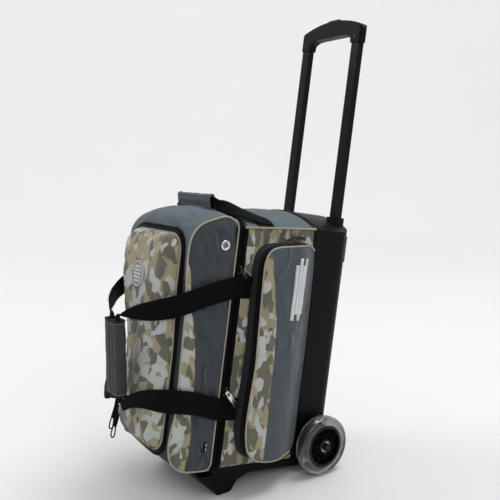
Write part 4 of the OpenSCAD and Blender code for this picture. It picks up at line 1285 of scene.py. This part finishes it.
def make_stage():
    """A paper sweep that rises away from the camera, square to its view."""
    mesh = bpy.data.meshes.new("sweep")
    bend = np.linspace(0.08, math.pi / 2, 18)
    ys = np.r_[-9.0, 3.2, 3.2 + 3 * np.sin(bend), 6.2]
    zs = np.r_[0, 0, 3 * (1 - np.cos(bend)), 12]
    ahead = VIEW.to_2d().normalized()
    side = Vector((ahead.y, -ahead.x))
    verts = []
    for y, z in zip(ys, zs):
        verts += [(*(ahead * y + side * half_w), z) for half_w in (-20, 20)]
    faces = [[2 * k, 2 * k + 1, 2 * k + 3, 2 * k + 2] for k in range(len(ys) - 1)]
    mesh.from_pydata(verts, [], faces)
    mesh.polygons.foreach_set("use_smooth", [True] * len(faces))
    s = Shader("studio_paper")
    tone = s.ramp(s.noise(2.0, 2.0), [(0.3, 0.775), (0.7, 0.785)])
    far = s.node("VectorMath", {0: s.at}, operation="LENGTH").outputs["Value"]
    lift = s.ramp(s.mul(far, 0.1), [(0.06, 0.0), (0.16, 0.03), (0.3, 0.10), (0.45, 0.2), (0.8, 0.33)])
    mesh.materials.append(s.done(tone, 0.9, s.bump(s.noise(300.0, 2.0), 0.02, 0.0002),
                                 Emission_Color=lift, Emission_Strength=1.0))
    ob = linked("sweep", mesh)


def area(name, where, size, power):
    """A square area light that looks at the bag."""
    data = bpy.data.lights.new(name, "AREA")
    data.shape = "RECTANGLE"
    data.size = data.size_y = size
    data.energy = power
    ob = linked(name, data)
    ob.location = where
    ob.rotation_euler = (Vector((0, 0.1, 0.3)) - Vector(where)).to_track_quat("-Z", "Y").to_euler()


EYE = np.array([1206.3, -1006.3, 459.0])      # the camera, and the way it looks, in upright millimetres
LOOK = np.array([-811, 583.2, -46.3])
eye = Vector(place(EYE))
VIEW = Vector(place(EYE + LOOK)) - eye
camera = linked("camera", bpy.data.cameras.new("camera"))
camera.data.lens = 49.68
camera.data.sensor_width = 36
camera.location = eye
camera.rotation_euler = VIEW.to_track_quat("-Z", "Y").to_euler()
bpy.context.scene.camera = camera
make_stage()

# A white world that the camera sees brighter than it lights
world = bpy.data.worlds.new("studio")
world.use_nodes = True
nt = world.node_tree
nt.nodes["Background"].inputs[0].default_value = (1.0, 1.0, 1.0, 1)
path_node, pick = nt.nodes.new("ShaderNodeLightPath"), nt.nodes.new("ShaderNodeMath")
pick.operation = "MULTIPLY_ADD"
pick.inputs[1].default_value, pick.inputs[2].default_value = 0.31, 0.5
nt.links.new(path_node.outputs["Is Camera Ray"], pick.inputs[0])
nt.links.new(pick.outputs[0], nt.nodes["Background"].inputs[1])
bpy.context.scene.world = world
bpy.context.scene.view_settings.view_transform = "Standard"
area("key", (-2.6, -2.4, 3.6), 2.0, 57)
area("fill", (3.6, -0.6, 2.6), 1.6, 22)
area("top", (0.4, 1.2, 4.2), 2.2, 90)
